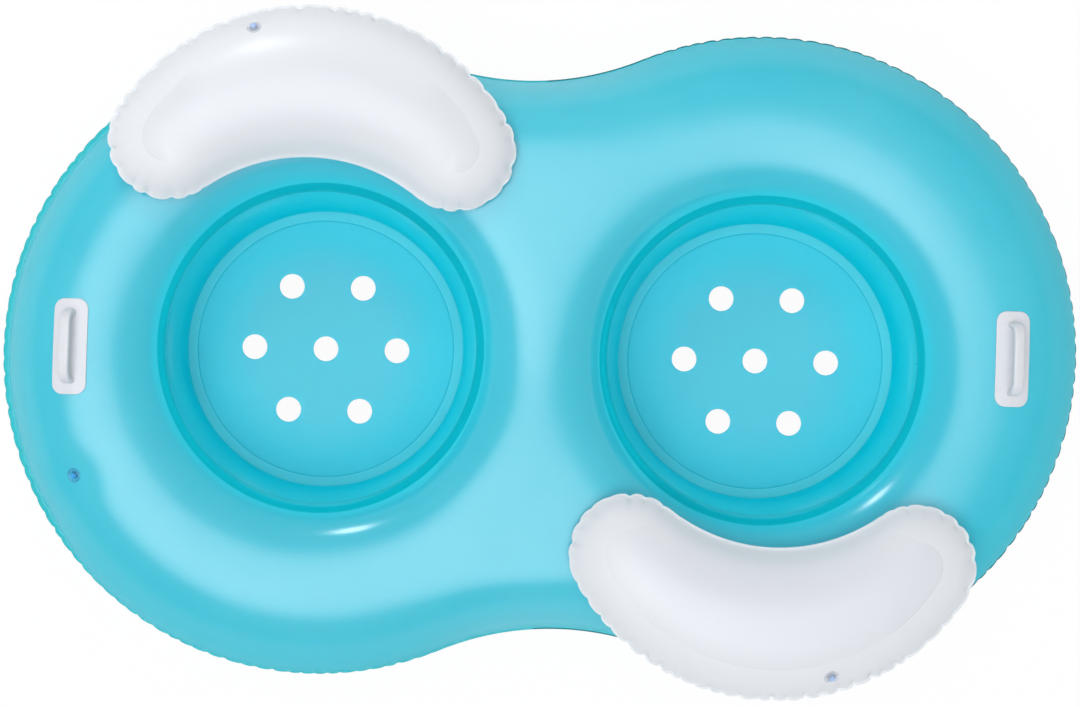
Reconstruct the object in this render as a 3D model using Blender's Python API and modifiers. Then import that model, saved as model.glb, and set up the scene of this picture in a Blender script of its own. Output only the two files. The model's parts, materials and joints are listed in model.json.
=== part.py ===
"""Inflatable pool raft for two people: one air chamber around two wells, with pillows and handles.

The raft lies on the ground plane, its long side along X. The left pillow is on the +Y side and the
right half is the left half turned half a turn about Z. Every sheet is a thin shell of vinyl, and
sheets that are welded together lie face to face across one small gap.
"""

import math

import bmesh
import bpy
import numpy as np
from mathutils import Matrix, Vector
from mathutils.bvhtree import BVHTree

# Vinyl sheets and the weld gap between two of them
SHEET = 0.0005
GAP = 0.0003

# Outer seam of the air chamber, seen from above
LOBE_SPACING = 0.776
LOBE_SHIFT = 0.016
SEAM_RADIUS = 0.544
WAIST_RADIUS = 0.52
SEAM_FLANGE = 0.012

# Wells: the upper ring, the floor and the wall between them
WELL_SPACING = 0.7625
RING_RADIUS = 0.282
RING_HEIGHT = 0.105
FLOOR_RADIUS = 0.244
FLOOR_DROP = 0.050
RING_FLANGE = 0.014
FLOOR_FLANGE = 0.016
WALL_BULGE_RADIUS = 0.170
DRAIN_DIAMETER = 0.044
DRAIN_CIRCLE_DIAMETER = 0.252
DRAIN_RING_COUNT = 6

# Heights from the outer seam's plane that the sheets near but never reach, where the air chamber is
# broadest, and the depth of the flat land on which the bottom sheet rests
TOP_LIMIT = 0.165
BOTTOM_LIMIT = 0.180
REST_DEPTH = 0.1485

# Pillows: a crescent between two arcs about points on its own middle line, with round ends
PILLOW_OFFSET = 0.0247
PILLOW_ANGLE = -0.71
PILLOW_INNER_RADIUS = 0.3085
PILLOW_INNER_CENTRE = 0.0206
PILLOW_OUTER_RADIUS = 0.382
PILLOW_WIDTH = 0.2435
PILLOW_END_RADIUS = 0.0948
PILLOW_FLANGE = 0.009
PILLOW_CROWN = 0.062
PILLOW_BELLY = 0.046
PILLOW_SEAT = 0.0013
PILLOW_PRESS = 0.0098

# Grab handles, each a stated way in from the end of the outer seam and aside of the wells' line
HANDLE_INSET = 0.126
HANDLE_SHIFT = 0.012
HANDLE_WIDTH = 0.059
HANDLE_LENGTH = 0.164
HANDLE_CORNER = 0.018
HANDLE_PLATE = 0.0025
GRIP_LENGTH = 0.127
GRIP_WIDTH = 0.019
GRIP_THICKNESS = 0.011
GRIP_HEIGHT = 0.033
GRIP_BEND = 0.020

# Valves, along their own axes
VALVE_FLANGE_RADIUS = 0.013
VALVE_FLANGE_THICKNESS = 0.0012
NECK_RADIUS = 0.006
NECK_BORE = 0.0048
NECK_LENGTH = 0.006
BOSS_HEIGHT = 0.0010
STEM_RADIUS = 0.0045
STEM_BORE = 0.0029
STEM_LENGTH = 0.018
STEM_HEAD_RADIUS = 0.0056
STEM_HEAD_THICKNESS = 0.0014
STEM_COLLAR_THICKNESS = 0.0014
CAP_RADIUS = 0.0044
CAP_THICKNESS = 0.0010
CAP_HINGE_REACH = 0.0074
CAP_STRAP_WIDTH = 0.0028
PLUG_RADIUS = 0.0027
PLUG_TIP_RADIUS = 0.0022
PLUG_LENGTH = 0.0026
FLAP_RADIUS = 0.0046
FLAP_THICKNESS = 0.0008
FLAP_HINGE_REACH = 0.0054

# Places of the valves: how far in from the lobe's and the pillow's outer seams, and their directions
BODY_VALVE_INSET = 0.083
BODY_VALVE_ANGLE = 207.93
PILLOW_VALVE_INSET = 0.0228
PILLOW_VALVE_ANGLE = 106.9

# Mesh fineness: counts only
OUTLINE_COLUMNS = 30
MIDLINE_COLUMNS = 10
CHAMBER_ROWS = 8
WALL_STEPS = 40
WALL_ROWS = 4
DRAIN_STEPS = 16
PILLOW_SIDE_COLUMNS = 12
PILLOW_END_COLUMNS = 7
PILLOW_TOP_ROWS = 4
PILLOW_BOTTOM_ROWS = 6
ROUND_STEPS = 20
CORNER_STEPS = 4
BEND_STEPS = 4
FINENESS_STEPS = 2

# Plain shares and powers, without a unit
LIMIT_SHARPNESS = 6
ROW_EASING = 0.9
MERGE_SHARE = 0.02
STRAP_SHARE = 0.8
LINING_REACH_SHARE = 1.6

COLLECTION_NAME = "pool_raft"

COLOURS = {
    "teal_vinyl": ((0.071, 0.578, 0.730), 0.18),
    "wall_vinyl": ((0.030, 0.480, 0.620), 0.18),
    "floor_vinyl": ((0.085, 0.578, 0.753), 0.30),
    "white_vinyl": ((0.830, 0.850, 0.880), 0.20),
    "handle_white": ((0.770, 0.780, 0.800), 0.35),
    "valve_blue": ((0.520, 0.660, 0.840), 0.15),
}


def clear_scene():
    """Remove every object, so the script can be run again."""
    for item in list(bpy.data.objects):
        bpy.data.objects.remove(item, do_unlink=True)


def make_collection(name):
    """Return a new collection linked to the scene."""
    group = bpy.data.collections.new(name)
    bpy.context.scene.collection.children.link(group)
    return group


def make_material(name, colour, roughness):
    """Return a Principled material of one colour."""
    material = bpy.data.materials.new(name)
    material.use_nodes = True
    shader = material.node_tree.nodes["Principled BSDF"]
    shader.inputs["Base Color"].default_value = (*colour, 1.0)
    shader.inputs["Roughness"].default_value = roughness
    shader.inputs["Metallic"].default_value = 0.0
    return material


class Workshop:
    """The two collections and the materials that the pieces are made with."""

    def __init__(self):
        self.parts = make_collection(COLLECTION_NAME)
        self.tools = make_collection("cutters")
        self.materials = {name: make_material(name, *look) for name, look in COLOURS.items()}

    def add_part(self, name, mesh, material, matrix=None):
        """Link a mesh as one of the raft's pieces, with a material of its own."""
        item = bpy.data.objects.new(name, mesh)
        own = self.materials[material].copy()
        own.name = name
        mesh.materials.clear()
        mesh.materials.append(own)
        self.parts.objects.link(item)
        if matrix is not None:
            item.matrix_world = matrix
        return item

    def add_tool(self, name, mesh, matrix=None):
        """Link a mesh that only cuts or joins others."""
        item = bpy.data.objects.new(name, mesh)
        self.tools.objects.link(item)
        item.display_type = "WIRE"
        item.hide_render = True
        if matrix is not None:
            item.matrix_world = matrix
        return item


def baked_mesh(item):
    """Return a new mesh with an object's modifiers applied."""
    bpy.context.view_layer.update()
    return bpy.data.meshes.new_from_object(item.evaluated_get(bpy.context.evaluated_depsgraph_get()))


def add_boolean(item, tool, operation):
    """Cut, join or intersect an object with a tool."""
    modifier = item.modifiers.new(operation.lower(), "BOOLEAN")
    modifier.operation = operation
    modifier.object = tool
    modifier.solver = "EXACT"


def thicken(item, thickness, offset):
    """Give an open surface its thickness."""
    modifier = item.modifiers.new("thickness", "SOLIDIFY")
    modifier.thickness = thickness
    modifier.offset = offset
    modifier.use_even_offset = True


def surface_mesh(name, points, faces):
    """Return a mesh of an open surface, its coincident points joined and its faces facing +Z."""
    sheet = bmesh.new()
    corners = [sheet.verts.new(point) for point in points]
    for face in faces:
        sheet.faces.new([corners[index] for index in face])
    bmesh.ops.remove_doubles(sheet, verts=sheet.verts, dist=MERGE_SHARE * SHEET)
    bmesh.ops.recalc_face_normals(sheet, faces=sheet.faces)
    sheet.normal_update()
    if sum(face.normal.z * face.calc_area() for face in sheet.faces) < 0:
        bmesh.ops.reverse_faces(sheet, faces=sheet.faces)
    mesh = bpy.data.meshes.new(name)
    sheet.to_mesh(mesh)
    sheet.free()
    mesh.shade_smooth()
    return mesh


def swell(points, faces, fixed):
    """Solve for the squared height of an inflated sheet over its flat plan.

    The squared height of a straight tube of round section is a parabola, so its second derivative
    is -2. The same rule over the whole plan gives lobes, junctions and ridges their natural height.

    Args:
        points: the plan's points, one row each.
        faces: four corners for each face, as rows of indices into points.
        fixed: the squared heights of the points at the plan's edges, by index.
    """
    keys = np.round(points / (MERGE_SHARE * SHEET)).astype(np.int64)
    _, first, index_of = np.unique(keys, axis=0, return_index=True, return_inverse=True)
    plan = points[first]
    quads = index_of.reshape(-1)[faces]
    corners = np.concatenate([quads[:, [0, 1, 2]], quads[:, [0, 2, 3]]])
    corners = corners[(corners[:, 0] != corners[:, 1]) & (corners[:, 1] != corners[:, 2])
                      & (corners[:, 2] != corners[:, 0])]
    a, b, c = (plan[corners[:, k]] for k in range(3))
    doubled = (b - a)[:, 0] * (c - a)[:, 1] - (b - a)[:, 1] * (c - a)[:, 0]
    sides = np.stack([c - b, a - c, b - a], axis=1)
    stiffness = np.einsum("tij,tkj->tik", sides, sides) / (2 * np.abs(doubled))[:, None, None]
    matrix = np.zeros((len(plan), len(plan)))
    load = np.zeros(len(plan))
    for i in range(3):
        np.add.at(load, corners[:, i], np.abs(doubled) / 3)
        for k in range(3):
            np.add.at(matrix, (corners[:, i], corners[:, k]), stiffness[:, i, k])
    for index, value in fixed.items():
        node = index_of.reshape(-1)[index]
        matrix[node] = 0.0
        matrix[node, node] = 1.0
        load[node] = value
    return np.linalg.solve(matrix, load)[index_of.reshape(-1)]


def arc_points(centre, radius, start, end, count):
    """Return count + 1 points and outward directions along an arc."""
    angles = np.linspace(start, end, count + 1)
    rays = np.stack([np.cos(angles), np.sin(angles)], axis=1)
    return np.asarray(centre) + radius * rays, rays


def angle_of(vector):
    """Return the direction of a plane vector, from 0 to a full turn."""
    return math.atan2(vector[1], vector[0]) % math.tau


class HalfOutline:
    """The outer seam around the left lobe, from the waist's upper point to its lower one."""

    def __init__(self):
        self.lobe = np.array([-LOBE_SPACING / 2, -LOBE_SHIFT])
        across = np.array([self.lobe[1], -self.lobe[0]]) / np.linalg.norm(self.lobe)
        reach = SEAM_RADIUS + WAIST_RADIUS
        self.waist = across * math.sqrt(reach ** 2 - self.lobe @ self.lobe)
        self.arcs = self._arcs()

    def _arcs(self):
        """Return each arc's centre, radius, start angle, end angle and outward sign."""
        waist, lobe = self.waist, self.lobe
        drop = math.sqrt(WAIST_RADIUS ** 2 - waist[0] ** 2)
        start = angle_of(np.array([0.0, waist[1] - drop]) - waist)
        upper = angle_of(lobe - waist)
        lobe_start = angle_of(waist - lobe)
        lobe_end = angle_of(-waist - lobe)
        lower = angle_of(lobe + waist)
        end = angle_of(np.array([0.0, drop - waist[1]]) + waist)
        return [(waist, WAIST_RADIUS, start, upper, -1), (lobe, SEAM_RADIUS, lobe_start, lobe_end, 1),
                (-waist, WAIST_RADIUS, lower, end, -1)]

    def at(self, share):
        """Return the point and the outward direction at a share of the outline's length."""
        lengths = [abs(arc[3] - arc[2]) * arc[1] for arc in self.arcs]
        left = share * sum(lengths)
        index = 0
        while left > lengths[index] and index < len(lengths) - 1:
            left -= lengths[index]
            index += 1
        centre, radius, start, end, sign = self.arcs[index]
        angle = start + (end - start) * min(left / lengths[index], 1.0)
        ray = np.array([math.cos(angle), math.sin(angle)])
        return centre + radius * ray, sign * ray

    def columns(self, outline_count, midline_count):
        """Return the end points of the columns, and the outward directions of those on the seam."""
        seam = [self.at(k / outline_count) for k in range(outline_count + 1)]
        top, bottom = seam[0][0], seam[-1][0]
        shares = [(1 - math.cos(math.pi * k / midline_count)) / 2 for k in range(1, midline_count)]
        middle = [bottom + (top - bottom) * share for share in shares]
        ends = np.array([point for point, _ in seam] + middle)
        return ends, np.array([ray for _, ray in seam])


class ChamberSkin:
    """The top or the bottom sheet's inflated surface, as columns of points around each well."""

    def __init__(self, edge_radius, edge_height, lip, limit):
        self.edge_radius = edge_radius
        self.edge_height = edge_height
        self.lip = lip
        self.limit = limit
        self.well = np.array([-WELL_SPACING / 2, 0.0])
        outline = HalfOutline()
        self.ends, self.rays = outline.columns(OUTLINE_COLUMNS * FINENESS_STEPS,
                                               MIDLINE_COLUMNS * FINENESS_STEPS)
        self.rows = CHAMBER_ROWS * FINENESS_STEPS
        self.starts = self._starts()
        self.plan = self._plan()
        self.height = self._height()

    def _starts(self):
        away = self.ends - self.well
        return self.well + self.edge_radius * away / np.linalg.norm(away, axis=1)[:, None]

    def _plan(self):
        """Return the plan's points, in rows at even steps around a tube's round section."""
        turn = math.pi - 2 * math.atan(self.edge_height / (SEAM_RADIUS - self.edge_radius))
        shares = 1 - (1 - np.cos(np.linspace(turn, 0, self.rows + 1))) / (1 - math.cos(turn))
        reach = (self.ends - self.starts)[:, None, :]
        return self.starts[:, None, :] + shares[None, :, None] * reach

    def _height(self):
        """Return every point's height over the plane of the outer seam."""
        columns, rows = self.plan.shape[0], self.rows + 1
        grid = np.arange(columns * rows).reshape(columns, rows)
        following = np.roll(grid, -1, axis=0)
        quads = np.stack([grid[:, :-1], grid[:, 1:], following[:, 1:], following[:, :-1]], axis=-1)
        quads = quads.reshape(-1, 4)
        left = self.plan.reshape(-1, 2)
        fixed = {}
        for half in range(2):
            shift = half * columns * rows
            for column in range(columns):
                fixed[grid[column, 0] + shift] = self.edge_height ** 2
                if column < len(self.rays):
                    fixed[grid[column, -1] + shift] = 0.0
        squared = swell(np.concatenate([left, -left]), np.concatenate([quads, quads + len(left)]), fixed)
        squared = np.maximum(squared[:len(left)].reshape(columns, rows), 0.0)
        held = 1 + (squared / self.limit ** 2) ** LIMIT_SHARPNESS
        height = np.sqrt(squared / held ** (1 / LIMIT_SHARPNESS))
        height[:, 0] = self.edge_height
        return height

    def points(self, side, step, depth_limit):
        """Return the left half's columns of points with their flanges, on the given side of the seam.

        Args:
            side: 1 for the top sheet and -1 for the bottom one.
            step: how many columns and rows to move on each time.
            depth_limit: the greatest height that a point may have, where the sheet is pressed flat.
        """
        lift = side * (SHEET + GAP) / 2
        height = np.minimum(self.height, depth_limit)[::step, ::step]
        plan = self.plan[::step, ::step]
        body = np.concatenate([plan, side * height[:, :, None]], axis=2)
        body[:, -1, 2] = np.where(np.arange(len(body)) < len(self.rays[::step]), lift, body[:, -1, 2])
        inward = (self.well - self.starts[::step]) / self.edge_radius
        lip = np.concatenate([self.starts[::step] + self.lip * inward,
                              np.full((len(inward), 1), side * self.edge_height)], axis=1)
        rim = self.ends[:len(self.rays)][::step] + SEAM_FLANGE * self.rays[::step]
        rim = np.concatenate([rim, np.full((len(rim), 1), lift)], axis=1)
        return lip, body, rim

    def mesh(self, name, side, step, depth_limit):
        """Return the sheet's surface over both wells, standing on the ground."""
        lip, body, rim = self.points(side, step, depth_limit)
        columns, rows = body.shape[:2]
        points, faces = [], []
        for turn in (1, -1):
            grid = [[None] * (rows + 2) for _ in range(columns)]
            for column in range(columns):
                chain = [lip[column], *body[column]]
                if column < len(rim):
                    chain.append(rim[column])
                for row, point in enumerate(chain):
                    grid[column][row] = len(points)
                    points.append((turn * point[0], turn * point[1], point[2] + REST_DEPTH))
            for column in range(columns):
                following = (column + 1) % columns
                for row in range(rows + 1):
                    face = [grid[column][row], grid[column][row + 1],
                            grid[following][row + 1], grid[following][row]]
                    if None not in face:
                        faces.append(face)
        return surface_mesh(name, points, faces)


class PillowShape:
    """The crescent of the left pillow, in the plane of its own seam and about its well's centre."""

    def __init__(self):
        self.inner = np.array([0.0, PILLOW_INNER_CENTRE])
        outer_edge = PILLOW_INNER_CENTRE + PILLOW_INNER_RADIUS + PILLOW_WIDTH
        self.outer = np.array([0.0, outer_edge - PILLOW_OUTER_RADIUS])
        self.end = self._end_centre()
        self.seam, self.rays, self.spine = self._loops()

    def _end_centre(self):
        """Return the right end's centre, where its round meets both long arcs without a corner."""
        from_inner = PILLOW_INNER_RADIUS + PILLOW_END_RADIUS
        from_outer = PILLOW_OUTER_RADIUS - PILLOW_END_RADIUS
        apart = self.outer[1] - self.inner[1]
        along = (from_inner ** 2 - from_outer ** 2 + apart ** 2) / (2 * apart)
        return np.array([math.sqrt(from_inner ** 2 - along ** 2), self.inner[1] + along])

    def _loops(self):
        """Return the seam's points, their outward directions and the points they are drawn in to."""
        end, mirror = self.end, np.array([-1.0, 1.0])
        outer_angle = angle_of(end - self.outer)
        inner_angle = angle_of(end - self.inner)
        outer = arc_points(self.outer, PILLOW_OUTER_RADIUS, outer_angle, math.pi - outer_angle,
                           PILLOW_SIDE_COLUMNS)
        cap = arc_points(end, PILLOW_END_RADIUS, inner_angle - math.pi, outer_angle, PILLOW_END_COLUMNS)
        inner = arc_points(self.inner, PILLOW_INNER_RADIUS, math.pi - inner_angle, inner_angle,
                           PILLOW_SIDE_COLUMNS)
        spine = (outer[0] + inner[0][::-1]) / 2
        spine[0], spine[-1] = end, end * mirror
        seam = [outer[0][:-1], (cap[0] * mirror)[::-1][:-1], inner[0][:-1], cap[0][:-1]]
        rays = [outer[1][:-1], (cap[1] * mirror)[::-1][:-1], -inner[1][:-1], cap[1][:-1]]
        middle = [spine[:-1], np.repeat([end * mirror], PILLOW_END_COLUMNS, axis=0),
                  spine[::-1][:-1], np.repeat([end], PILLOW_END_COLUMNS, axis=0)]
        return tuple(np.concatenate(part) for part in (seam, rays, middle))

    def surface(self, rows):
        """Return the panel's flat points, their share of the full height and its faces."""
        shares = (1 - np.cos(np.linspace(0, math.pi / 2, rows + 1))) ** ROW_EASING
        flat = self.seam[:, None, :] + shares[None, :, None] * (self.spine - self.seam)[:, None, :]
        columns = len(flat)
        grid = np.arange(columns * (rows + 1)).reshape(columns, rows + 1)
        following = np.roll(grid, -1, axis=0)
        quads = np.stack([grid[:, :-1], grid[:, 1:], following[:, 1:], following[:, :-1]], axis=-1)
        quads = quads.reshape(-1, 4)
        flat = flat.reshape(-1, 2)
        squared = swell(flat, quads, {index: 0.0 for index in grid[:, 0]})
        share = np.sqrt(np.maximum(squared, 0.0) / squared.max())
        rim = self.seam + PILLOW_FLANGE * self.rays
        rim_index = len(flat) + np.arange(columns)
        flange = np.stack([rim_index, grid[:, 0], following[:, 0], np.roll(rim_index, -1)], axis=-1)
        return (np.concatenate([flat, rim]), np.concatenate([share, np.zeros(columns)]),
                np.concatenate([quads, flange]))


def spot_inside(centre, radius, inset, degrees):
    """Return the place that lies an inset inside a round seam, in a direction from its centre."""
    angle = math.radians(degrees)
    return np.asarray(centre) + (radius - inset) * np.array([math.cos(angle), math.sin(angle)])


def pillow_points(turn, points):
    """Return points of a pillow's own plan in the raft's: the left pillow for 1, the right one for -1."""
    angle = math.radians(PILLOW_ANGLE)
    turned = np.asarray(points) @ np.array([[math.cos(angle), math.sin(angle)],
                                            [-math.sin(angle), math.cos(angle)]])
    return turn * (turned - np.array([WELL_SPACING / 2 + PILLOW_OFFSET, 0.0]))


def look_down(tree, x, y):
    """Return the highest point and the normal there of a surface over a point of the plan."""
    above_all = 2 * (REST_DEPTH + TOP_LIMIT)
    return tree.ray_cast(Vector((x, y, above_all)), Vector((0, 0, -1)))[:2]


def height_at(tree, x, y):
    """Return the height of a surface over a point of the plan, or None beside it."""
    point = look_down(tree, x, y)[0]
    return None if point is None else point.z


def pillow_panel(name, turn, side, seam_level, chamber_tree):
    """Return a pillow's top panel, or its bottom panel where it lies on the air chamber."""
    rows = PILLOW_TOP_ROWS if side > 0 else PILLOW_BOTTOM_ROWS
    flat, share, faces = PillowShape().surface(rows)
    points = []
    for (x, y), part in zip(pillow_points(turn, flat), share):
        swelling = PILLOW_CROWN if side > 0 else PILLOW_BELLY
        z = seam_level + side * ((SHEET + GAP) / 2 + swelling * part)
        below = height_at(chamber_tree, x, y) if side < 0 else None
        if below is not None:
            z = max(z, below + SHEET + PILLOW_SEAT)
        points.append((x, y, z))
    return surface_mesh(name, points, faces.tolist())


def turned_profile(name, profile, closed):
    """Return a mesh of a profile in the XZ plane, for a Screw modifier."""
    sketch = bmesh.new()
    corners = [sketch.verts.new((radius, 0, height)) for radius, height in profile]
    for first, second in zip(corners, corners[1:]):
        sketch.edges.new((first, second))
    if closed:
        sketch.edges.new((corners[-1], corners[0]))
    mesh = bpy.data.meshes.new(name)
    sketch.to_mesh(mesh)
    sketch.free()
    return mesh


def add_screw(item, steps):
    """Turn an object's profile once around its Z axis."""
    modifier = item.modifiers.new("turn", "SCREW")
    modifier.steps = steps
    modifier.render_steps = steps
    modifier.use_merge_vertices = True
    modifier.merge_threshold = MERGE_SHARE * SHEET
    modifier.use_smooth_shade = True


def cylinder_mesh(name, radius, low, high):
    """Return a closed cylinder along Z."""
    solid = bmesh.new()
    bmesh.ops.create_cone(solid, cap_ends=True, segments=ROUND_STEPS, radius1=radius, radius2=radius,
                          depth=high - low, matrix=Matrix.Translation((0, 0, (low + high) / 2)))
    mesh = bpy.data.meshes.new(name)
    solid.to_mesh(mesh)
    solid.free()
    return mesh


def box_mesh(name, low, high, corner=0.0):
    """Return a closed box between two corners, its upright edges rounded if a radius is given."""
    size = Vector(high) - Vector(low)
    centre = (Vector(high) + Vector(low)) / 2
    solid = bmesh.new()
    bmesh.ops.create_cube(solid, size=1.0, matrix=Matrix.Translation(centre) @ Matrix.Diagonal((*size, 1)))
    if corner:
        upright = [edge for edge in solid.edges
                   if abs(edge.verts[0].co.z - edge.verts[1].co.z) > size.z / 2]
        bmesh.ops.bevel(solid, geom=upright, offset=corner, segments=CORNER_STEPS, profile=0.5,
                        affect="EDGES")
    mesh = bpy.data.meshes.new(name)
    solid.to_mesh(mesh)
    solid.free()
    return mesh


class Site:
    """A spot on a sheet that carries a valve or a handle, with the sheet's surface around it."""

    def __init__(self, sheet, spot, along, reach):
        self.sheet = sheet
        tree = tree_of(sheet)
        point = look_down(tree, *spot)[0]
        normal = Vector()
        for aside in ((reach, 0), (-reach, 0), (0, reach), (0, -reach)):
            normal += look_down(tree, spot[0] + aside[0], spot[1] + aside[1])[1]
        normal.normalize()
        across = Vector(along).cross(normal).normalized()
        ahead = normal.cross(across)
        self.matrix = Matrix.Translation(point) @ Matrix((across, ahead, normal)).transposed().to_4x4()

    def lining(self, name, reach, low, high):
        """Return a closed layer over the sheet, between two distances from its middle surface."""
        layer = bmesh.new()
        layer.from_mesh(self.sheet)
        centre = self.matrix.translation
        far = [face for face in layer.faces
               if min((vertex.co - centre).length for vertex in face.verts) > reach
               and (face.calc_center_median() - centre).length > reach]
        bmesh.ops.delete(layer, geom=far, context="FACES")
        layer.normal_update()
        lifted = [(vertex, vertex.normal * low) for vertex in layer.verts]
        for vertex, shift in lifted:
            vertex.co += shift
        mesh = bpy.data.meshes.new(name)
        layer.to_mesh(mesh)
        layer.free()
        item = bpy.data.objects.new(name, mesh)
        bpy.context.scene.collection.objects.link(item)
        thicken(item, high - low, 1.0)
        solid = baked_mesh(item)
        bpy.data.objects.remove(item, do_unlink=True)
        return solid


def grip_mesh(name):
    """Return a handle's raised grip: a flat-sided bar that bends down into the plate at both ends."""
    path = bpy.data.curves.new(name, "CURVE")
    path.extrude = (GRIP_WIDTH - GRIP_THICKNESS) / 2
    path.bevel_depth = GRIP_THICKNESS / 2
    path.bevel_resolution = 2
    path.use_fill_caps = True
    path.dimensions = "3D"
    half = (GRIP_LENGTH - GRIP_THICKNESS) / 2
    centre = (half - GRIP_BEND, GRIP_HEIGHT - GRIP_BEND)
    bend = [(centre[0] + GRIP_BEND * math.cos(turn), centre[1] + GRIP_BEND * math.sin(turn))
            for turn in np.linspace(0, math.pi / 2, BEND_STEPS + 1)]
    route = [(half, -HANDLE_PLATE), *bend]
    route = route + [(-along, height) for along, height in reversed(route)]
    line = path.splines.new("POLY")
    line.points.add(len(route) - 1)
    for point, (along, height) in zip(line.points, route):
        point.co = (along, height, 0, 1)
    item = bpy.data.objects.new(name, path)
    bpy.context.scene.collection.objects.link(item)
    mesh = baked_mesh(item)
    bpy.data.objects.remove(item, do_unlink=True)
    bpy.data.curves.remove(path)
    weld = bmesh.new()
    weld.from_mesh(mesh)
    bmesh.ops.remove_doubles(weld, verts=weld.verts, dist=MERGE_SHARE * SHEET)
    bmesh.ops.recalc_face_normals(weld, faces=weld.faces)
    weld.to_mesh(mesh)
    weld.free()
    mesh.transform(Matrix(((0, 0, 1, 0), (1, 0, 0, 0), (0, 1, 0, 0), (0, 0, 0, 1))))
    return mesh


def make_handle(shop, name, sheet, turn):
    """Make a grab handle: a plate that follows the sheet, with its raised grip."""
    end = LOBE_SPACING / 2 + math.sqrt(SEAM_RADIUS ** 2 - LOBE_SHIFT ** 2)
    site = Site(sheet, (turn * (HANDLE_INSET - end), turn * -HANDLE_SHIFT), (0, turn, 0), HANDLE_WIDTH / 2)
    low = SHEET / 2 + GAP
    reach = HANDLE_LENGTH * LINING_REACH_SHARE / 2
    blank = box_mesh(name, (-HANDLE_WIDTH / 2, -HANDLE_LENGTH / 2, -GRIP_HEIGHT),
                     (HANDLE_WIDTH / 2, HANDLE_LENGTH / 2, GRIP_HEIGHT), HANDLE_CORNER)
    handle = shop.add_part(name, blank, "handle_white", site.matrix)
    plate = shop.add_tool(f"{name}_layer", site.lining(f"{name}_layer", reach, low, low + HANDLE_PLATE))
    under = shop.add_tool(f"{name}_under", site.lining(f"{name}_under", reach, low - GRIP_HEIGHT, low))
    grip = shop.add_tool(f"{name}_grip", grip_mesh(f"{name}_grip"), site.matrix)
    add_boolean(grip, under, "DIFFERENCE")
    add_boolean(handle, plate, "INTERSECT")
    add_boolean(handle, grip, "UNION")


def make_valve_base(shop, name, site):
    """Make a valve's flange, welded onto the sheet, with its boss and its neck through the sheet's hole."""
    low = SHEET / 2 + GAP
    top = low + VALVE_FLANGE_THICKNESS
    boss = top + BOSS_HEIGHT
    reach = 2 * VALVE_FLANGE_RADIUS
    base = shop.add_part(f"{name}_base", cylinder_mesh(name, VALVE_FLANGE_RADIUS, -NECK_LENGTH, NECK_LENGTH),
                         "valve_blue", site.matrix)
    layer = shop.add_tool(f"{name}_layer", site.lining(f"{name}_layer", reach, low, top))
    neck = shop.add_tool(f"{name}_neck", cylinder_mesh(f"{name}_neck", NECK_RADIUS, -NECK_LENGTH, boss),
                         site.matrix)
    room = shop.add_tool(f"{name}_room", cylinder_mesh(f"{name}_room", CAP_HINGE_REACH + GAP, boss,
                                                       2 * NECK_LENGTH), site.matrix)
    bore = shop.add_tool(f"{name}_bore", cylinder_mesh(f"{name}_bore", NECK_BORE, -2 * NECK_LENGTH,
                                                       2 * NECK_LENGTH), site.matrix)
    add_boolean(base, layer, "INTERSECT")
    add_boolean(base, room, "DIFFERENCE")
    add_boolean(base, neck, "UNION")
    add_boolean(base, bore, "DIFFERENCE")
    return boss + GAP


def make_valve_stem(shop, name, site, seat):
    """Make the push-in stem: a head over the flange, a barrel and the collar that keeps it in."""
    head = seat + STEM_HEAD_THICKNESS
    foot = -STEM_LENGTH
    profile = [(STEM_BORE, head), (STEM_HEAD_RADIUS, head), (STEM_HEAD_RADIUS, seat), (STEM_RADIUS, seat),
               (STEM_RADIUS, foot + STEM_COLLAR_THICKNESS), (STEM_HEAD_RADIUS, foot + STEM_COLLAR_THICKNESS),
               (STEM_HEAD_RADIUS, foot), (STEM_BORE, foot)]
    stem = shop.add_part(f"{name}_stem", turned_profile(f"{name}_stem", profile, True), "valve_blue",
                         site.matrix)
    add_screw(stem, ROUND_STEPS)
    lug = shop.add_tool(f"{name}_lug", box_mesh(f"{name}_lug",
                        (STEM_RADIUS, -CAP_STRAP_WIDTH / 2, seat),
                        (CAP_HINGE_REACH, CAP_STRAP_WIDTH / 2, head)), site.matrix)
    add_boolean(stem, lug, "UNION")
    return head + GAP


def make_valve_cap(shop, name, site, seat):
    """Make the stopper cap, whose origin is on the line where its strap bends."""
    pivot = Matrix.Translation((CAP_HINGE_REACH, 0, seat))
    profile = [(0, CAP_THICKNESS), (CAP_RADIUS, CAP_THICKNESS), (CAP_RADIUS, 0), (PLUG_RADIUS, 0),
               (PLUG_TIP_RADIUS, -PLUG_LENGTH), (0, -PLUG_LENGTH)]
    blank = shop.add_tool(f"{name}_plug", turned_profile(f"{name}_plug", profile, False),
                          site.matrix @ Matrix.Translation((0, 0, seat)))
    add_screw(blank, ROUND_STEPS)
    strap = box_mesh(f"{name}_cap", (-CAP_HINGE_REACH + PLUG_RADIUS, -CAP_STRAP_WIDTH / 2, 0),
                     (0, CAP_STRAP_WIDTH / 2, STRAP_SHARE * CAP_THICKNESS))
    cap = shop.add_part(f"{name}_cap", strap, "valve_blue", site.matrix @ pivot)
    add_boolean(cap, blank, "UNION")


def make_valve_flap(shop, name, site):
    """Make the inner check flap, whose origin is on the line where it bends."""
    level = -STEM_LENGTH - GAP
    disc = shop.add_tool(f"{name}_disc", cylinder_mesh(f"{name}_disc", FLAP_RADIUS, level - FLAP_THICKNESS,
                                                       level), site.matrix)
    tab = box_mesh(f"{name}_flap", (-FLAP_HINGE_REACH, -CAP_STRAP_WIDTH / 2, -FLAP_THICKNESS),
                   (0, CAP_STRAP_WIDTH / 2, 0))
    flap = shop.add_part(f"{name}_flap", tab, "valve_blue",
                         site.matrix @ Matrix.Translation((FLAP_HINGE_REACH, 0, level)))
    add_boolean(flap, disc, "UNION")


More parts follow.
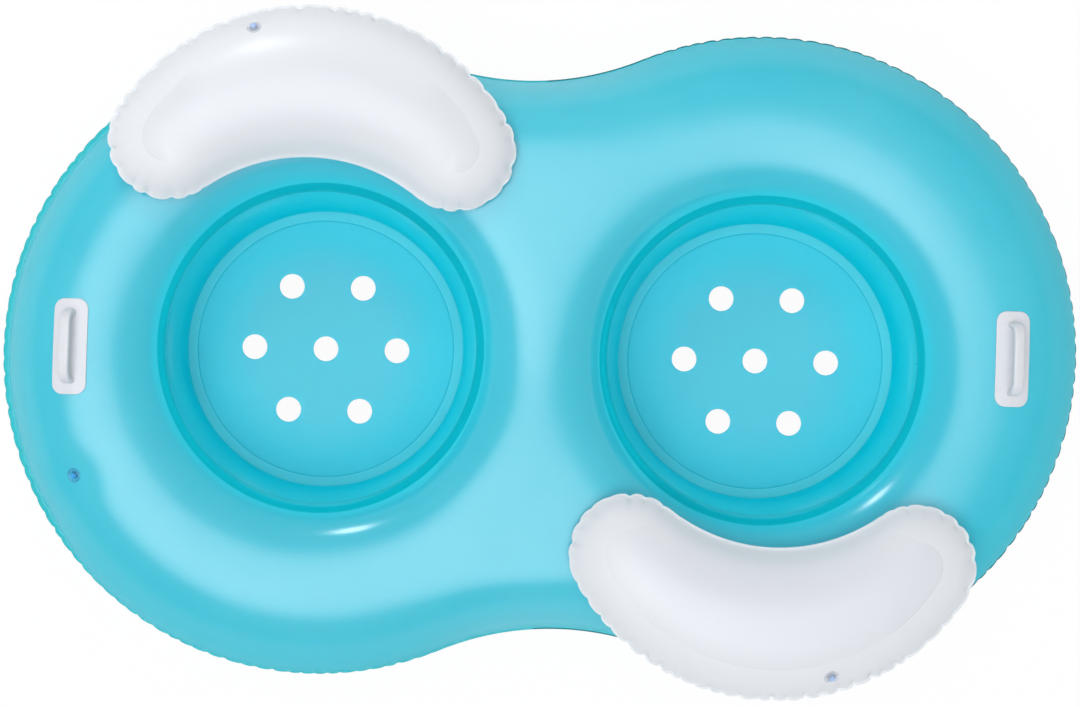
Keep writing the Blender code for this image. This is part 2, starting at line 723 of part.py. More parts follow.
def make_valve(shop, name, sheet_item, spot, along):
    """Make one valve and the hole for it in its sheet."""
    site = Site(sheet_item.data, spot, along, VALVE_FLANGE_RADIUS)
    seat = make_valve_base(shop, name, site)
    cap_seat = make_valve_stem(shop, name, site, seat)
    make_valve_cap(shop, name, site, cap_seat)
    make_valve_flap(shop, name, site)
    hole = shop.add_tool(f"{name}_hole", cylinder_mesh(f"{name}_hole", NECK_RADIUS + GAP, -2 * NECK_LENGTH,
                                                       2 * NECK_LENGTH), site.matrix)
    add_boolean(sheet_item, hole, "DIFFERENCE")


def make_wall(shop, name, turn):
    """Make a well's wall: an arc that bulges into the well, with a flange at each end."""
    ring = (RING_RADIUS, RING_HEIGHT - SHEET - GAP)
    foot = (FLOOR_RADIUS, -FLOOR_DROP + SHEET + GAP)
    chord = Vector(foot) - Vector(ring)
    middle = (Vector(foot) + Vector(ring)) / 2
    outward = Vector((-chord.y, chord.x)).normalized()
    centre = middle + outward * math.sqrt(WALL_BULGE_RADIUS ** 2 - (chord.length / 2) ** 2)
    start = math.atan2(ring[1] - centre.y, ring[0] - centre.x) % math.tau
    end = math.atan2(foot[1] - centre.y, foot[0] - centre.x) % math.tau
    arc = arc_points(centre, WALL_BULGE_RADIUS, start, end, WALL_ROWS)[0].tolist()
    profile = [(RING_RADIUS - RING_FLANGE, ring[1]), *arc, (FLOOR_RADIUS - FLOOR_FLANGE, foot[1])]
    wall = shop.add_part(name, turned_profile(name, profile, False), "wall_vinyl",
                         Matrix.Translation((-turn * WELL_SPACING / 2, 0, REST_DEPTH)))
    add_screw(wall, WALL_STEPS)
    thicken(wall, SHEET, 0.0)


def make_floor(shop, name, turn):
    """Make a well's floor disc and cut its drain holes."""
    floor = shop.add_part(name, floor_mesh(name), "floor_vinyl",
                          Matrix.Translation((-turn * WELL_SPACING / 2, 0, REST_DEPTH - FLOOR_DROP)))
    spots = [(0.0, 0.0)]
    for k in range(DRAIN_RING_COUNT):
        angle = math.tau * k / DRAIN_RING_COUNT
        spots.append(tuple(DRAIN_CIRCLE_DIAMETER / 2 * np.array([math.cos(angle), math.sin(angle)])))
    punches = bmesh.new()
    for x, y in spots:
        bmesh.ops.create_cone(punches, cap_ends=True, segments=DRAIN_STEPS, radius1=DRAIN_DIAMETER / 2,
                              radius2=DRAIN_DIAMETER / 2, depth=DRAIN_DIAMETER,
                              matrix=Matrix.Translation((x, y, 0)))
    mesh = bpy.data.meshes.new(f"{name}_punches")
    punches.to_mesh(mesh)
    punches.free()
    add_boolean(floor, shop.add_tool(f"{name}_punches", mesh, floor.matrix_world.copy()), "DIFFERENCE")


def floor_mesh(name):
    """Return a floor's blank disc."""
    disc = bmesh.new()
    bmesh.ops.create_cone(disc, cap_ends=True, segments=WALL_STEPS, radius1=FLOOR_RADIUS - GAP,
                          radius2=FLOOR_RADIUS - GAP, depth=SHEET)
    mesh = bpy.data.meshes.new(name)
    disc.to_mesh(mesh)
    disc.free()
    return mesh


def tree_of(mesh):
    """Return a search tree over a mesh."""
    shell = bmesh.new()
    shell.from_mesh(mesh)
    tree = BVHTree.FromBMesh(shell)
    shell.free()
    return tree


def pillow_seam_level(turn, chamber_tree):
    """Return the height of a pillow's seam, with its lower panel pressed in by a stated depth at most."""
    flat, share, _ = PillowShape().surface(PILLOW_BOTTOM_ROWS)
    levels = []
    for (x, y), part in zip(pillow_points(turn, flat), share):
        below = height_at(chamber_tree, x, y)
        if below is not None:
            levels.append(below + SHEET + PILLOW_SEAT + (SHEET + GAP) / 2 + PILLOW_BELLY * part)
    return max(levels) - PILLOW_PRESS


def make_pillow(shop, side_name, turn, chamber_tree):
    """Make a pillow's two panels and the valve in its upper one."""
    seam_level = pillow_seam_level(turn, chamber_tree)
    upper, lower = f"pillow_top_{side_name}", f"pillow_bottom_{side_name}"
    top = shop.add_part(upper, pillow_panel(upper, turn, 1, seam_level, chamber_tree), "white_vinyl")
    bottom = shop.add_part(lower, pillow_panel(lower, turn, -1, seam_level, chamber_tree), "white_vinyl")
    spot = pillow_points(turn, spot_inside(PillowShape().outer, PILLOW_OUTER_RADIUS, PILLOW_VALVE_INSET,
                                           PILLOW_VALVE_ANGLE))
    thicken(top, SHEET, 0.0)
    thicken(bottom, SHEET, 0.0)
    make_valve(shop, f"pillow_valve_{side_name}", top, spot.tolist(), (turn, 0, 0))


def main():
    clear_scene()
    shop = Workshop()
    top_skin = ChamberSkin(RING_RADIUS, RING_HEIGHT, RING_FLANGE, TOP_LIMIT)
    bottom_skin = ChamberSkin(FLOOR_RADIUS, FLOOR_DROP + SHEET + GAP, FLOOR_FLANGE, BOTTOM_LIMIT)
    top = shop.add_part("top_sheet", top_skin.mesh("top_sheet", 1, FINENESS_STEPS, TOP_LIMIT), "teal_vinyl")
    bottom = shop.add_part("bottom_sheet", bottom_skin.mesh("bottom_sheet", -1, FINENESS_STEPS,
                                                            REST_DEPTH - SHEET / 2), "teal_vinyl")
    thicken(top, SHEET, 0.0)
    thicken(bottom, SHEET, 0.0)
    fine = top_skin.mesh("fine_skin", 1, 1, TOP_LIMIT)
    chamber_tree = tree_of(fine)
    bpy.data.meshes.remove(fine)
    for side_name, turn in (("left", 1), ("right", -1)):
        make_wall(shop, f"well_wall_{side_name}", turn)
        make_floor(shop, f"well_floor_{side_name}", turn)
        make_pillow(shop, side_name, turn, chamber_tree)
        make_handle(shop, f"handle_{side_name}", top.data, turn)
    spot = spot_inside((-LOBE_SPACING / 2, -LOBE_SHIFT), SEAM_RADIUS, BODY_VALVE_INSET, BODY_VALVE_ANGLE)
    make_valve(shop, "body_valve", top, spot.tolist(), (0, 1, 0))


main()
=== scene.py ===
"""Looks of the pool raft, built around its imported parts.

The air chamber, the wells, the pillows, the handles and the valves are each a class that holds its own
sizes and builds its own meshes. All sizes are in metres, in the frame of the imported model.
"""
from __future__ import annotations

import json
import logging
import math
from dataclasses import dataclass, field
from enum import Enum

import bmesh
import bpy
import numpy as np
from bmesh.types import BMEdge, BMesh, BMVert
from mathutils import Matrix, Vector
from mathutils.bvhtree import BVHTree


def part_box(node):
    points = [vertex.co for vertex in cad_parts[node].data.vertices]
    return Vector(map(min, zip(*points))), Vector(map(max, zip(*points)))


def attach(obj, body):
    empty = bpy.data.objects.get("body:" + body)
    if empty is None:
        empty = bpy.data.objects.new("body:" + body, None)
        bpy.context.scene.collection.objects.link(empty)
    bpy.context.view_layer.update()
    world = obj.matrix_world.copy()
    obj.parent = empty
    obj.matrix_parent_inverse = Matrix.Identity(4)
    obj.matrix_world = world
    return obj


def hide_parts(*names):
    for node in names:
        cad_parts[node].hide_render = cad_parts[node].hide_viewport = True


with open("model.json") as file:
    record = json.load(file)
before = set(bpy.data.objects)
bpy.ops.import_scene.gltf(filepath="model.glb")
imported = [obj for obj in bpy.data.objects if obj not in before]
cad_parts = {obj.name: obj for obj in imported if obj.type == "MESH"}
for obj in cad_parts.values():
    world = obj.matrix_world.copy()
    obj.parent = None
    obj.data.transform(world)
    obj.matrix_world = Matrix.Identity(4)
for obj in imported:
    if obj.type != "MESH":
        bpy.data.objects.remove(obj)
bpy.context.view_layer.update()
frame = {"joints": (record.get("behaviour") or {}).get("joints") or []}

LOG = logging.getLogger("pool_raft")
BODY = "raft"
SHEET = 0.0005  # the vinyl's thickness
GAP = 0.0003  # the room left between welded sheets
REST_DEPTH = 0.1485  # the outer seam's height over the ground
WELL_SPACING = 0.7625  # from one well's centre to the other's
ABOVE = 0.05  # how far over a place the search for the sheet below it starts
UP = Vector((0.0, 0.0, 1.0))

Colour = Direction = tuple[float, float, float]


class Half(Enum):
    """The two halves of the raft, each with the turn that takes the left one to it."""

    LEFT = 1
    RIGHT = -1

    @property
    def label(self) -> str:
        """The half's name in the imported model's node names."""
        return self.name.lower()

    @property
    def well(self) -> Vector:
        """The centre of the half's well, at the height of the outer seam."""
        return Vector((-self.value * WELL_SPACING / 2, 0.0, REST_DEPTH))


class Side(Enum):
    """Which sheet of an air chamber a surface is."""

    TOP = 1
    BOTTOM = -1


# Shader maths


class Socket:
    """A number in a material, on which Python's operators add Math nodes."""

    def __init__(self, graph: Graph, socket: bpy.types.NodeSocket) -> None:
        """Wrap a node's output."""
        self.graph = graph
        self.socket = socket

    def _math(self, operation: str, *terms: Socket | float) -> Socket:
        """Add a Math node over some terms."""
        node = self.graph.node("ShaderNodeMath", {"operation": operation}, dict(enumerate(terms)))
        return Socket(self.graph, node.outputs[0])

    def __add__(self, other: Socket | float) -> Socket:
        """Return the sum."""
        return self._math("ADD", self, other)

    __radd__ = __add__

    def __sub__(self, other: Socket | float) -> Socket:
        """Return the difference."""
        return self._math("SUBTRACT", self, other)

    def __rsub__(self, other: Socket | float) -> Socket:
        """Return the difference from the other term."""
        return self._math("SUBTRACT", other, self)

    def __mul__(self, other: Socket | float) -> Socket:
        """Return the product."""
        return self._math("MULTIPLY", self, other)

    __rmul__ = __mul__

    def near(self, place: Socket | float, width: float) -> Socket:
        """Return 1 at a value, falling off to 0 a width away from it."""
        return (1 - self._math("ABSOLUTE", self - place) * (1 / width)).clamp()

    def clamp(self) -> Socket:
        """Return the value held between 0 and 1."""
        return self._math("MINIMUM", self._math("MAXIMUM", self, 0.0), 1.0)

    def band(self, low: float, high: float) -> Socket:
        """Return 0 below the first bound, 1 above the second and a smooth rise between them."""
        node = self.graph.node("ShaderNodeMapRange", {"interpolation_type": "SMOOTHSTEP"},
                               {"Value": self, "From Min": low, "From Max": high})
        return Socket(self.graph, node.outputs[0])


class Graph:
    """The node tree of a material or of the world."""

    def __init__(self, owner: bpy.types.Material | bpy.types.World) -> None:
        """Start with the owner's own first shader."""
        self.owner = owner
        owner.use_nodes = True
        self.tree = owner.node_tree
        self.shader = self.tree.nodes.get("Principled BSDF") or self.tree.nodes["Background"]

    @classmethod
    def material(cls, name: str) -> Graph:
        """Start a material that holds one Principled shader."""
        return cls(bpy.data.materials.new(name))

    def node(self, kind: str, settings: dict | None = None, inputs: dict | None = None) -> bpy.types.Node:
        """Add a node.

        Args:
            kind: the node's type.
            settings: its own settings, set before its sockets.
            inputs: a value or a link for each named or numbered socket.

        Returns:
            The new node.
        """
        node = self.tree.nodes.new(kind)
        for key, value in (settings or {}).items():
            setattr(node, key, value)
        for key, value in (inputs or {}).items():
            self.feed(node.inputs[key], value)
        return node

    def feed(self, socket: bpy.types.NodeSocket, value: object) -> None:
        """Link or set one input."""
        if isinstance(value, Socket):
            self.tree.links.new(value.socket, socket)
        elif isinstance(value, bpy.types.NodeSocket):
            self.tree.links.new(value, socket)
        else:
            socket.default_value = value

    def place(self) -> bpy.types.NodeSocket:
        """Return the Object coordinates."""
        return self.node("ShaderNodeTexCoord").outputs["Object"]

    def part(self, place: bpy.types.NodeSocket, axis: str) -> Socket:
        """Return the X, Y or Z of a place or a direction."""
        return Socket(self, self.node("ShaderNodeSeparateXYZ", {}, {0: place}).outputs[axis])

    def along(self, way: bpy.types.NodeSocket, axis: Direction) -> Socket:
        """Return how far a direction goes along an axis."""
        node = self.node("ShaderNodeVectorMath", {"operation": "DOT_PRODUCT"}, {0: way, 1: axis})
        return Socket(self, node.outputs["Value"])

    def rays(self, *kinds: str) -> Socket:
        """Return 1 for rays of the given kinds."""
        path = self.node("ShaderNodeLightPath").outputs
        seen = Socket(self, path[kinds[0]])
        for kind in kinds[1:]:
            seen = seen + Socket(self, path[kind])
        return seen.clamp()

    def attribute(self, name: str) -> Socket:
        """Return a piece's own attribute."""
        return Socket(self, self.node("ShaderNodeAttribute", {"attribute_name": name}).outputs["Fac"])

    def noise(self, scale: float, detail: float = 2.0, roughness: float = 0.5) -> Socket:
        """Return a noise over the Object coordinates."""
        node = self.node("ShaderNodeTexNoise", {}, {"Vector": self.place(), "Scale": scale, "Detail": detail,
                                                    "Roughness": roughness})
        return Socket(self, node.outputs["Fac"])

    def blend(self, factor: Socket, low: object, high: object) -> bpy.types.NodeSocket:
        """Return a colour between two others."""
        node = self.node("ShaderNodeMix", {"data_type": "RGBA"})
        self.feed(node.inputs[0], factor)
        self.feed(node.inputs[6], self._colour(low))
        self.feed(node.inputs[7], self._colour(high))
        return node.outputs[2]

    @staticmethod
    def _colour(value: object) -> object:
        """Return a colour with its alpha, or a link as it is."""
        return (*value, 1.0) if isinstance(value, tuple) else value

    def bump(self, height: Socket, depth: float, normal: bpy.types.NodeSocket | None = None
             ) -> bpy.types.NodeSocket:
        """Return a normal from a height of the given depth."""
        inputs: dict = {"Height": height, "Distance": depth, "Strength": 1.0}
        if normal is not None:
            inputs["Normal"] = normal
        return self.node("ShaderNodeBump", {}, inputs).outputs["Normal"]

    def finish(self, **inputs: object) -> bpy.types.Material:
        """Set the shader's inputs, named with underscores, and return the material."""
        for key, value in inputs.items():
            self.feed(self.shader.inputs[key.replace("_", " ").title().replace("Ior", "IOR")], value)
        return self.owner


# Finishes


class ValvePiece(Enum):
    """The pieces of a valve."""

    BASE = "base"
    STEM = "stem"
    CAP = "cap"
    FLAP = "flap"


@dataclass(frozen=True)
class SheetVinyl:
    """Glossy translucent vinyl sheet, deeper in colour where it is welded, and paler higher up as a painted
    highlight on its crests.

    The gloss fades out towards the welds, over ring_fade from a well's ring and seam_fade from a seam.
    """

    name: str
    colour: Colour
    stretched: Colour
    weld_colour: Colour
    seam_colour: Colour
    stretch_from: float = 0.225
    stretch_to: float = 0.316
    ring_band: float = 0.0
    lip: float = 0.014
    seam_band: float = 0.0
    roughness: float = 0.45
    coat: float = 1.0
    coat_roughness: float = 0.17
    specular: float = 0.02
    wave_depth: float = 0.0004
    ring_blur: float = 0.0008
    seam_blur: float = 0.0006
    lip_width: float = 0.0014
    ring_fade: tuple[float, float] = (0.0, 0.03)
    seam_fade: tuple[float, float] = (0.015, 0.12)
    subsurface: float = 0.7
    scatter: float = 0.0006
    cloud_scale: float = 4.0
    smear_scale: float = 34.0
    wave_scale: float = 9.0
    grain_scale: float = 900.0
    grain_depth: float = 0.00001

    def material(self) -> bpy.types.Material:
        """Return the finish as a material."""
        graph = Graph.material(self.name)
        cloud = graph.noise(self.cloud_scale).band(0.3, 0.7)
        # Painted highlight: the colour turns paler with height between two levels, made patchy by a cloud
        # noise.
        painted_top_light = graph.part(graph.place(), "Z").band(self.stretch_from, self.stretch_to)
        sheet = graph.blend(painted_top_light * (cloud * 0.3 + 0.85), self.colour, self.stretched)
        ring_way, seam_way = graph.attribute("ring_way"), graph.attribute("seam_way")
        ring = 1 - ring_way.band(self.ring_band - self.ring_blur, self.ring_band + self.ring_blur)
        seam = 1 - seam_way.band(self.seam_band - self.seam_blur, self.seam_band + self.seam_blur)
        colour = graph.blend(ring, graph.blend(seam, sheet, self.seam_colour), self.weld_colour)
        # Painted highlight: a thin pale line along the lip's inner edge.
        colour = graph.blend(ring_way.near(-self.lip, self.lip_width) * 0.5, colour, self.stretched)
        colour = self._mark(graph, colour)
        smear = graph.noise(self.smear_scale, 4.0, 0.6).band(0.3, 0.8)
        roughness = smear * 0.08 + ring * 0.06 + (self.roughness - 0.04)
        wave = graph.bump(graph.noise(self.wave_scale, 1.0), self.wave_depth)
        grain = graph.bump(graph.noise(self.grain_scale), self.grain_depth, wave)
        return graph.finish(base_color=colour, roughness=roughness, normal=grain, ior=1.5,
                            specular_ior_level=self.specular, coat_ior=1.6,
                            coat_weight=(ring_way.band(*self.ring_fade) * seam_way.band(*self.seam_fade)
                                         * self.coat * self._shine(graph)),
                            coat_roughness=self.coat_roughness, subsurface_weight=self.subsurface,
                            subsurface_radius=(1.0, 1.0, 1.0), subsurface_scale=self.scatter)

    def _shine(self, graph: Graph) -> Socket | float:
        """Return the share of the gloss that is left."""
        return 1.0

    def _mark(self, graph: Graph, colour: bpy.types.NodeSocket) -> bpy.types.NodeSocket:
        """Return the colour with the sheet's own marks, of which a plain sheet has none."""
        return colour


@dataclass(frozen=True)
class ChamberVinyl(SheetVinyl):
    """The air chamber's vinyl, with a painted highlight by its outer seam, painted light near the wells and a
    darker flange edge.
    """

    edge_colour: Colour = (0.0, 0.150, 0.180)
    drawn_colour: Colour = (0.050, 0.640, 0.780)
    line_colour: Colour = (0.200, 0.720, 0.800)
    line_place: float = -0.0015
    line_width: float = 0.0055
    drawn_reach: float = 0.06
    dull_from_to: tuple[float, float] = (0.50, 0.78)
    dull_share: float = 0.38

    def _shine(self, graph: Graph) -> Socket:
        """Return the share of the gloss that is left, duller towards the right end."""
        return 1 - graph.part(graph.place(), "X").band(*self.dull_from_to) * self.dull_share

    def _mark(self, graph: Graph, colour: bpy.types.NodeSocket) -> bpy.types.NodeSocket:
        """Darken the flange's edge, paint a highlight along the outer seam and paint light where the sheet
        runs down to a well.
        """
        way = graph.attribute("ring_way")
        # Painted light: paler from a well's ring outwards, fading over a few centimetres, lifting the shade
        # on that slope.
        drawn = graph.blend((way.band(-0.001, 0.001) - way.band(0.0, self.drawn_reach)) * 0.5, colour,
                            self.drawn_colour)
        # Painted highlight: a pale line along the outer seam.
        lined = graph.blend(graph.attribute("seam_way").near(self.line_place, self.line_width) * 0.8, drawn,
                            self.line_colour)
        # Darker along the flange's outer edge, more strongly on the right half.
        return graph.blend(graph.attribute("rim").band(0.3, 0.7) * 0.85, lined, self.edge_colour)


@dataclass(frozen=True)
class WallVinyl(SheetVinyl):
    """A well wall's vinyl, with the line where its ends overlap and a painted highlight on the edge of its
    lower flange.
    """

    tick: float = 0.0011
    tick_length: float = 0.030
    tick_fade: float = 0.004
    foot: float = 0.016
    foot_width: float = 0.0020
    foot_colour: Colour = (0.150, 0.780, 0.920)

    def _mark(self, graph: Graph, colour: bpy.types.NodeSocket) -> bpy.types.NodeSocket:
        """Draw the line of the overlap, from the upper weld down, and paint a highlight on the flange's edge.
        """
        line = graph.attribute("lap_way").near(0.0, self.tick)
        reach = 1 - graph.attribute("ring_way").band(self.tick_length, self.tick_length + self.tick_fade)
        lapped = graph.blend(line * reach * 0.8, colour, self.weld_colour)
        # Painted highlight: a pale line along the lower flange's free edge.
        edge = graph.attribute("seam_way").near(-self.foot, self.foot_width)
        return graph.blend(edge, lapped, self.foot_colour)


@dataclass(frozen=True)
class FloorVinyl(SheetVinyl):
    """A well floor's vinyl, made paler near the wall by painted light, with the thin dark line inside its
    weld.
    """

    pale_reach: float = 0.11
    line_place: float = 0.0018
    line_width: float = 0.0016

    def _mark(self, graph: Graph, colour: bpy.types.NodeSocket) -> bpy.types.NodeSocket:
        """Brighten the outer part with painted light and darken the line."""
        way = graph.attribute("seam_way")
        # Painted light: paler towards the wall, lifting the shade at the wall's foot.
        outer = graph.blend(1 - way.band(0.0, self.pale_reach), colour, self.stretched)
        return graph.blend(way.near(self.line_place, self.line_width) * 0.7, outer, self.weld_colour)


@dataclass(frozen=True)
class PillowVinyl(SheetVinyl):
    """A pillow's white vinyl, through which the weld of its lower panel shows as a faint line, with painted
    shade inside that line and in its creases.
    """

    inner_colour: Colour = (0.700, 0.722, 0.765)
    line_width: float = 0.0016
    tint_reach: float = 0.07

    def _mark(self, graph: Graph, colour: bpy.types.NodeSocket) -> bpy.types.NodeSocket:
        """Draw the faint line of the weld below, and paint shade inside it and into the creases."""
        way = graph.attribute("contour_way")
        clear = graph.attribute("contour_weight")
        faint = (graph.noise(14.0, 1.0).band(0.35, 0.6) * 0.5 + 0.15) * clear
        # Painted shade: the middle, inside the lower panel's weld line, is tinted darker.
        tint = way.band(-0.002, 0.004) * clear + way.band(0.0, self.tint_reach) * (1 - clear)
        inside = graph.blend(tint * 0.5, colour, self.inner_colour)
        lined = graph.blend(way.near(0.0, self.line_width) * faint, inside, self.weld_colour)
        # Painted shade: the creases of the puckers are darkened towards the weld colour.
        return graph.blend(graph.attribute("crease").band(0.35, 1.0) * 0.35, lined, self.weld_colour)


@dataclass(frozen=True)
class MouldedVinyl:
    """Satin moulded vinyl with a fine spark-eroded grain and rubbed patches spread by a noise."""

    name: str
    colour: Colour
    cover: float = 1.0
    roughness: float = 0.42
    rubbed_scale: float = 60.0
    rubbed_band: tuple[float, float] = (0.45, 0.8)
    rubbed_share: float = 0.6
    rubbed_roughness: float = 0.1
    darkening: float = 0.95
    grain_scale: float = 1400.0
    grain_detail: float = 3.0
    grain_depth: float = 0.00005
    coat: float = 0.15
    coat_roughness: float = 0.25

    def material(self) -> bpy.types.Material:
        """Return the finish as a material."""
        graph = Graph.material(self.name)
        rubbed = graph.noise(self.rubbed_scale, 3.0).band(*self.rubbed_band)
        darker = tuple(part * self.darkening for part in self.colour)
        colour = graph.blend(rubbed * self.rubbed_share, self.colour, darker)
        grain = graph.bump(graph.noise(self.grain_scale, self.grain_detail), self.grain_depth)
        return graph.finish(base_color=colour, roughness=rubbed * self.rubbed_roughness + self.roughness,
                            normal=grain, ior=1.5, alpha=self.cover, coat_weight=self.coat,
                            coat_roughness=self.coat_roughness)


@dataclass(frozen=True)
class ClearVinyl(MouldedVinyl):
    """Glossy moulded vinyl with faint flow marks, which what is behind it shows through."""

    roughness: float = 0.15
    rubbed_scale: float = 220.0
    rubbed_band: tuple[float, float] = (0.3, 0.8)
    rubbed_share: float = 1.0
    rubbed_roughness: float = 0.08
    darkening: float = 0.88
    grain_scale: float = 500.0
    grain_detail: float = 2.0
    grain_depth: float = 0.00004
    coat: float = 0.5
    coat_roughness: float = 0.08


class Palette:
    """Every finish of the raft, made once."""

    def __init__(self) -> None:
        """Make the materials."""
        # pale is a painted highlight colour for the chamber's crests; ring is painted light for the floor's
        # outer part and weld.
        deep, pale, weld = (0.008, 0.498, 0.638), (0.074, 0.560, 0.692), (0.002, 0.450, 0.552)
        level, ring = (0.046, 0.535, 0.660), (0.080, 0.620, 0.735)
        snow = (0.722, 0.738, 0.768)
        self.teal = ChamberVinyl("teal_vinyl", deep, pale, weld, (0.060, 0.560, 0.600)).material()
        # The wall is the chamber's vinyl painted lighter, paler towards its top and at its lower flange:
        # painted light that lifts the shade inside the well.
        self.wall = WallVinyl("wall_vinyl", (0.0, 0.680, 0.820), (0.040, 0.710, 0.850), weld,
                              (0.120, 0.720, 0.840), stretch_from=0.14, stretch_to=0.25, coat=0.3).material()
        # The floor's paler outer colour, also used beyond its weld, is painted light near the wall.
        self.floor = FloorVinyl("floor_vinyl", level, ring, weld, ring, stretch_from=0.3, stretch_to=0.4,
                                roughness=0.5, coat=0.4).material()
        # Each pillow gets its own copy of the white vinyl, differing only in the painted shade inside its
        # weld line; its paler colour is a painted highlight on the pillow's top.
        inner = {Half.LEFT: (0.640, 0.658, 0.705), Half.RIGHT: (0.650, 0.670, 0.730)}
        self.white = {half: PillowVinyl(f"white_vinyl_{half.label}", snow, (0.750, 0.765, 0.790),
                                        (0.560, 0.600, 0.650), snow, stretch_from=0.33, stretch_to=0.39,
                                        seam_band=-1.0, coat=0.6, coat_roughness=0.26, specular=0.15,
                                        subsurface=0.6, scatter=0.006, inner_colour=inner[half]).material()
                      for half in Half}
        self.moulded = MouldedVinyl("handle_white", (0.670, 0.685, 0.725)).material()
        self.body_clear = self._clear("body", (0.040, 0.430, 0.880), (0.100, 0.560, 0.880))
        self.pillow_clear = self._clear("pillow", (0.480, 0.660, 0.990), (0.860, 0.900, 0.980))

    @staticmethod
    def _clear(place: str, colour: Colour, flange: Colour) -> dict[ValvePiece, bpy.types.Material]:
        """Return the finishes of a valve's pieces, its flange of another colour."""
        covers = {ValvePiece.BASE: 0.30, ValvePiece.STEM: 0.60, ValvePiece.CAP: 0.85, ValvePiece.FLAP: 0.60}
        return {piece: ClearVinyl(f"{place}_valve_clear_{piece.value}",
                                  flange if piece is ValvePiece.BASE else colour, cover).material()
                for piece, cover in covers.items()}


# Mesh tools


def row_pairs(row: list[BMVert], closed: bool = True) -> list[tuple[BMVert, BMVert]]:
    """Return each vertex of a row with the one that follows it."""
    return list(zip(row, row[1:] + row[:1] if closed else row[1:]))


def lay_rows(shell: BMesh, rows: list[np.ndarray]) -> list[list[BMVert]]:
    """Lay a first closed row of points and extrude it through all the others.

    Args:
        shell: the mesh to add to.
        rows: the points of each row, all rows equally long.

    Returns:
        The vertices, row by row.
    """
    order = shell.verts.layers.int.get("order") or shell.verts.layers.int.new("order")
    first = [shell.verts.new(point) for point in rows[0]]
    for index, vertex in enumerate(first):
        vertex[order] = index
    edges = [shell.edges.new(pair) for pair in row_pairs(first)]
    grid = [first]
    for row in rows[1:]:
        vertices, edges = extrude_row(shell, edges, order)
        for vertex, point in zip(vertices, row):
            vertex.co = point
        grid.append(vertices)
    return grid


def float_layers(shell: BMesh, *names: str) -> list:
    """Add layers of numbers to a mesh's points, which its finish reads as attributes."""
    return [shell.verts.layers.float.new(name) for name in names]


def spin_profile(shell: BMesh, corners: list[BMVert], closed: bool, steps: int) -> None:
    """Join a profile's corners and turn it once around the Z axis."""
    edges = [shell.edges.new(pair) for pair in row_pairs(corners, closed)]
    bmesh.ops.spin(shell, geom=corners + edges, cent=(0, 0, 0), axis=(0, 0, 1), angle=math.tau,
                   steps=steps, use_merge=True, use_duplicate=False)


def extrude_row(shell: BMesh, edges: list[BMEdge], order: object) -> tuple[list[BMVert], list[BMEdge]]:
    """Extrude a row of edges and return the new row, its vertices in the old order."""
    made = bmesh.ops.extrude_edge_only(shell, edges=edges)["geom"]
    fresh = [item for item in made if isinstance(item, BMVert)]
    known = set(fresh)
    rim = [item for item in made if isinstance(item, BMEdge) and item.verts[0] in known
           and item.verts[1] in known]
    return sorted(fresh, key=lambda vertex: vertex[order]), rim


def face_towards(shell: BMesh, way: Vector) -> None:
    """Turn a sheet's faces so that they face a way on the whole."""
    bmesh.ops.recalc_face_normals(shell, faces=shell.faces)
    if sum(face.normal.dot(way) * face.calc_area() for face in shell.faces) < 0:
        bmesh.ops.reverse_faces(shell, faces=shell.faces)


def to_mesh(shell: BMesh, name: str) -> bpy.types.Mesh:
    """Turn a bmesh into a mesh with smooth faces."""
    mesh = bpy.data.meshes.new(name)
    shell.to_mesh(mesh)
    shell.free()
    mesh.shade_smooth()
    return mesh


def to_object(mesh: bpy.types.Mesh, material: bpy.types.Material | None = None) -> bpy.types.Object:
    """Link a mesh as an object of the same name."""
    item = bpy.data.objects.new(mesh.name, mesh)
    bpy.context.scene.collection.objects.link(item)
    if material is not None:
        mesh.materials.clear()
        mesh.materials.append(material)
    return item


def bake(item: bpy.types.Object) -> bpy.types.Object:
    """Apply an object's modifiers."""
    bpy.context.view_layer.update()
    baked = bpy.data.meshes.new_from_object(item.evaluated_get(bpy.context.evaluated_depsgraph_get()))
    old = item.data
    name = old.name
    item.modifiers.clear()
    item.data = baked
    bpy.data.meshes.remove(old)
    baked.name = name
    baked.shade_smooth()
    return item


def thicken(item: bpy.types.Object, thickness: float, offset: float = 0.0) -> None:
    """Give a sheet its thickness with a modifier."""
    modifier = item.modifiers.new("thickness", "SOLIDIFY")
    modifier.thickness = thickness
    modifier.offset = offset
    modifier.use_even_offset = True


def dress(item: bpy.types.Object, body: str, slot: str, *nodes: str) -> bpy.types.Object:
    """Make a piece ride on its body and stand for its nodes, and report it."""
    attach(item, body)
    if nodes:
        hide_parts(*nodes)
    LOG.info("%s: %d faces, rides on %s", item.name, len(item.data.polygons), body)
    return item


def smooth_step(value: np.ndarray | float, low: float, high: float) -> np.ndarray:
    """Return 0 below one bound, 1 above the other and a smooth rise between them."""
    share = np.clip((np.asarray(value, dtype=float) - low) / (high - low), 0.0, 1.0)
    return share * share * (3.0 - 2.0 * share)


# Inflated sheets

SOLVER_TURNS = 6000  # the most turns that the solver takes
SOLVER_SHARE = 1e-13  # the share of the first error at which it stops


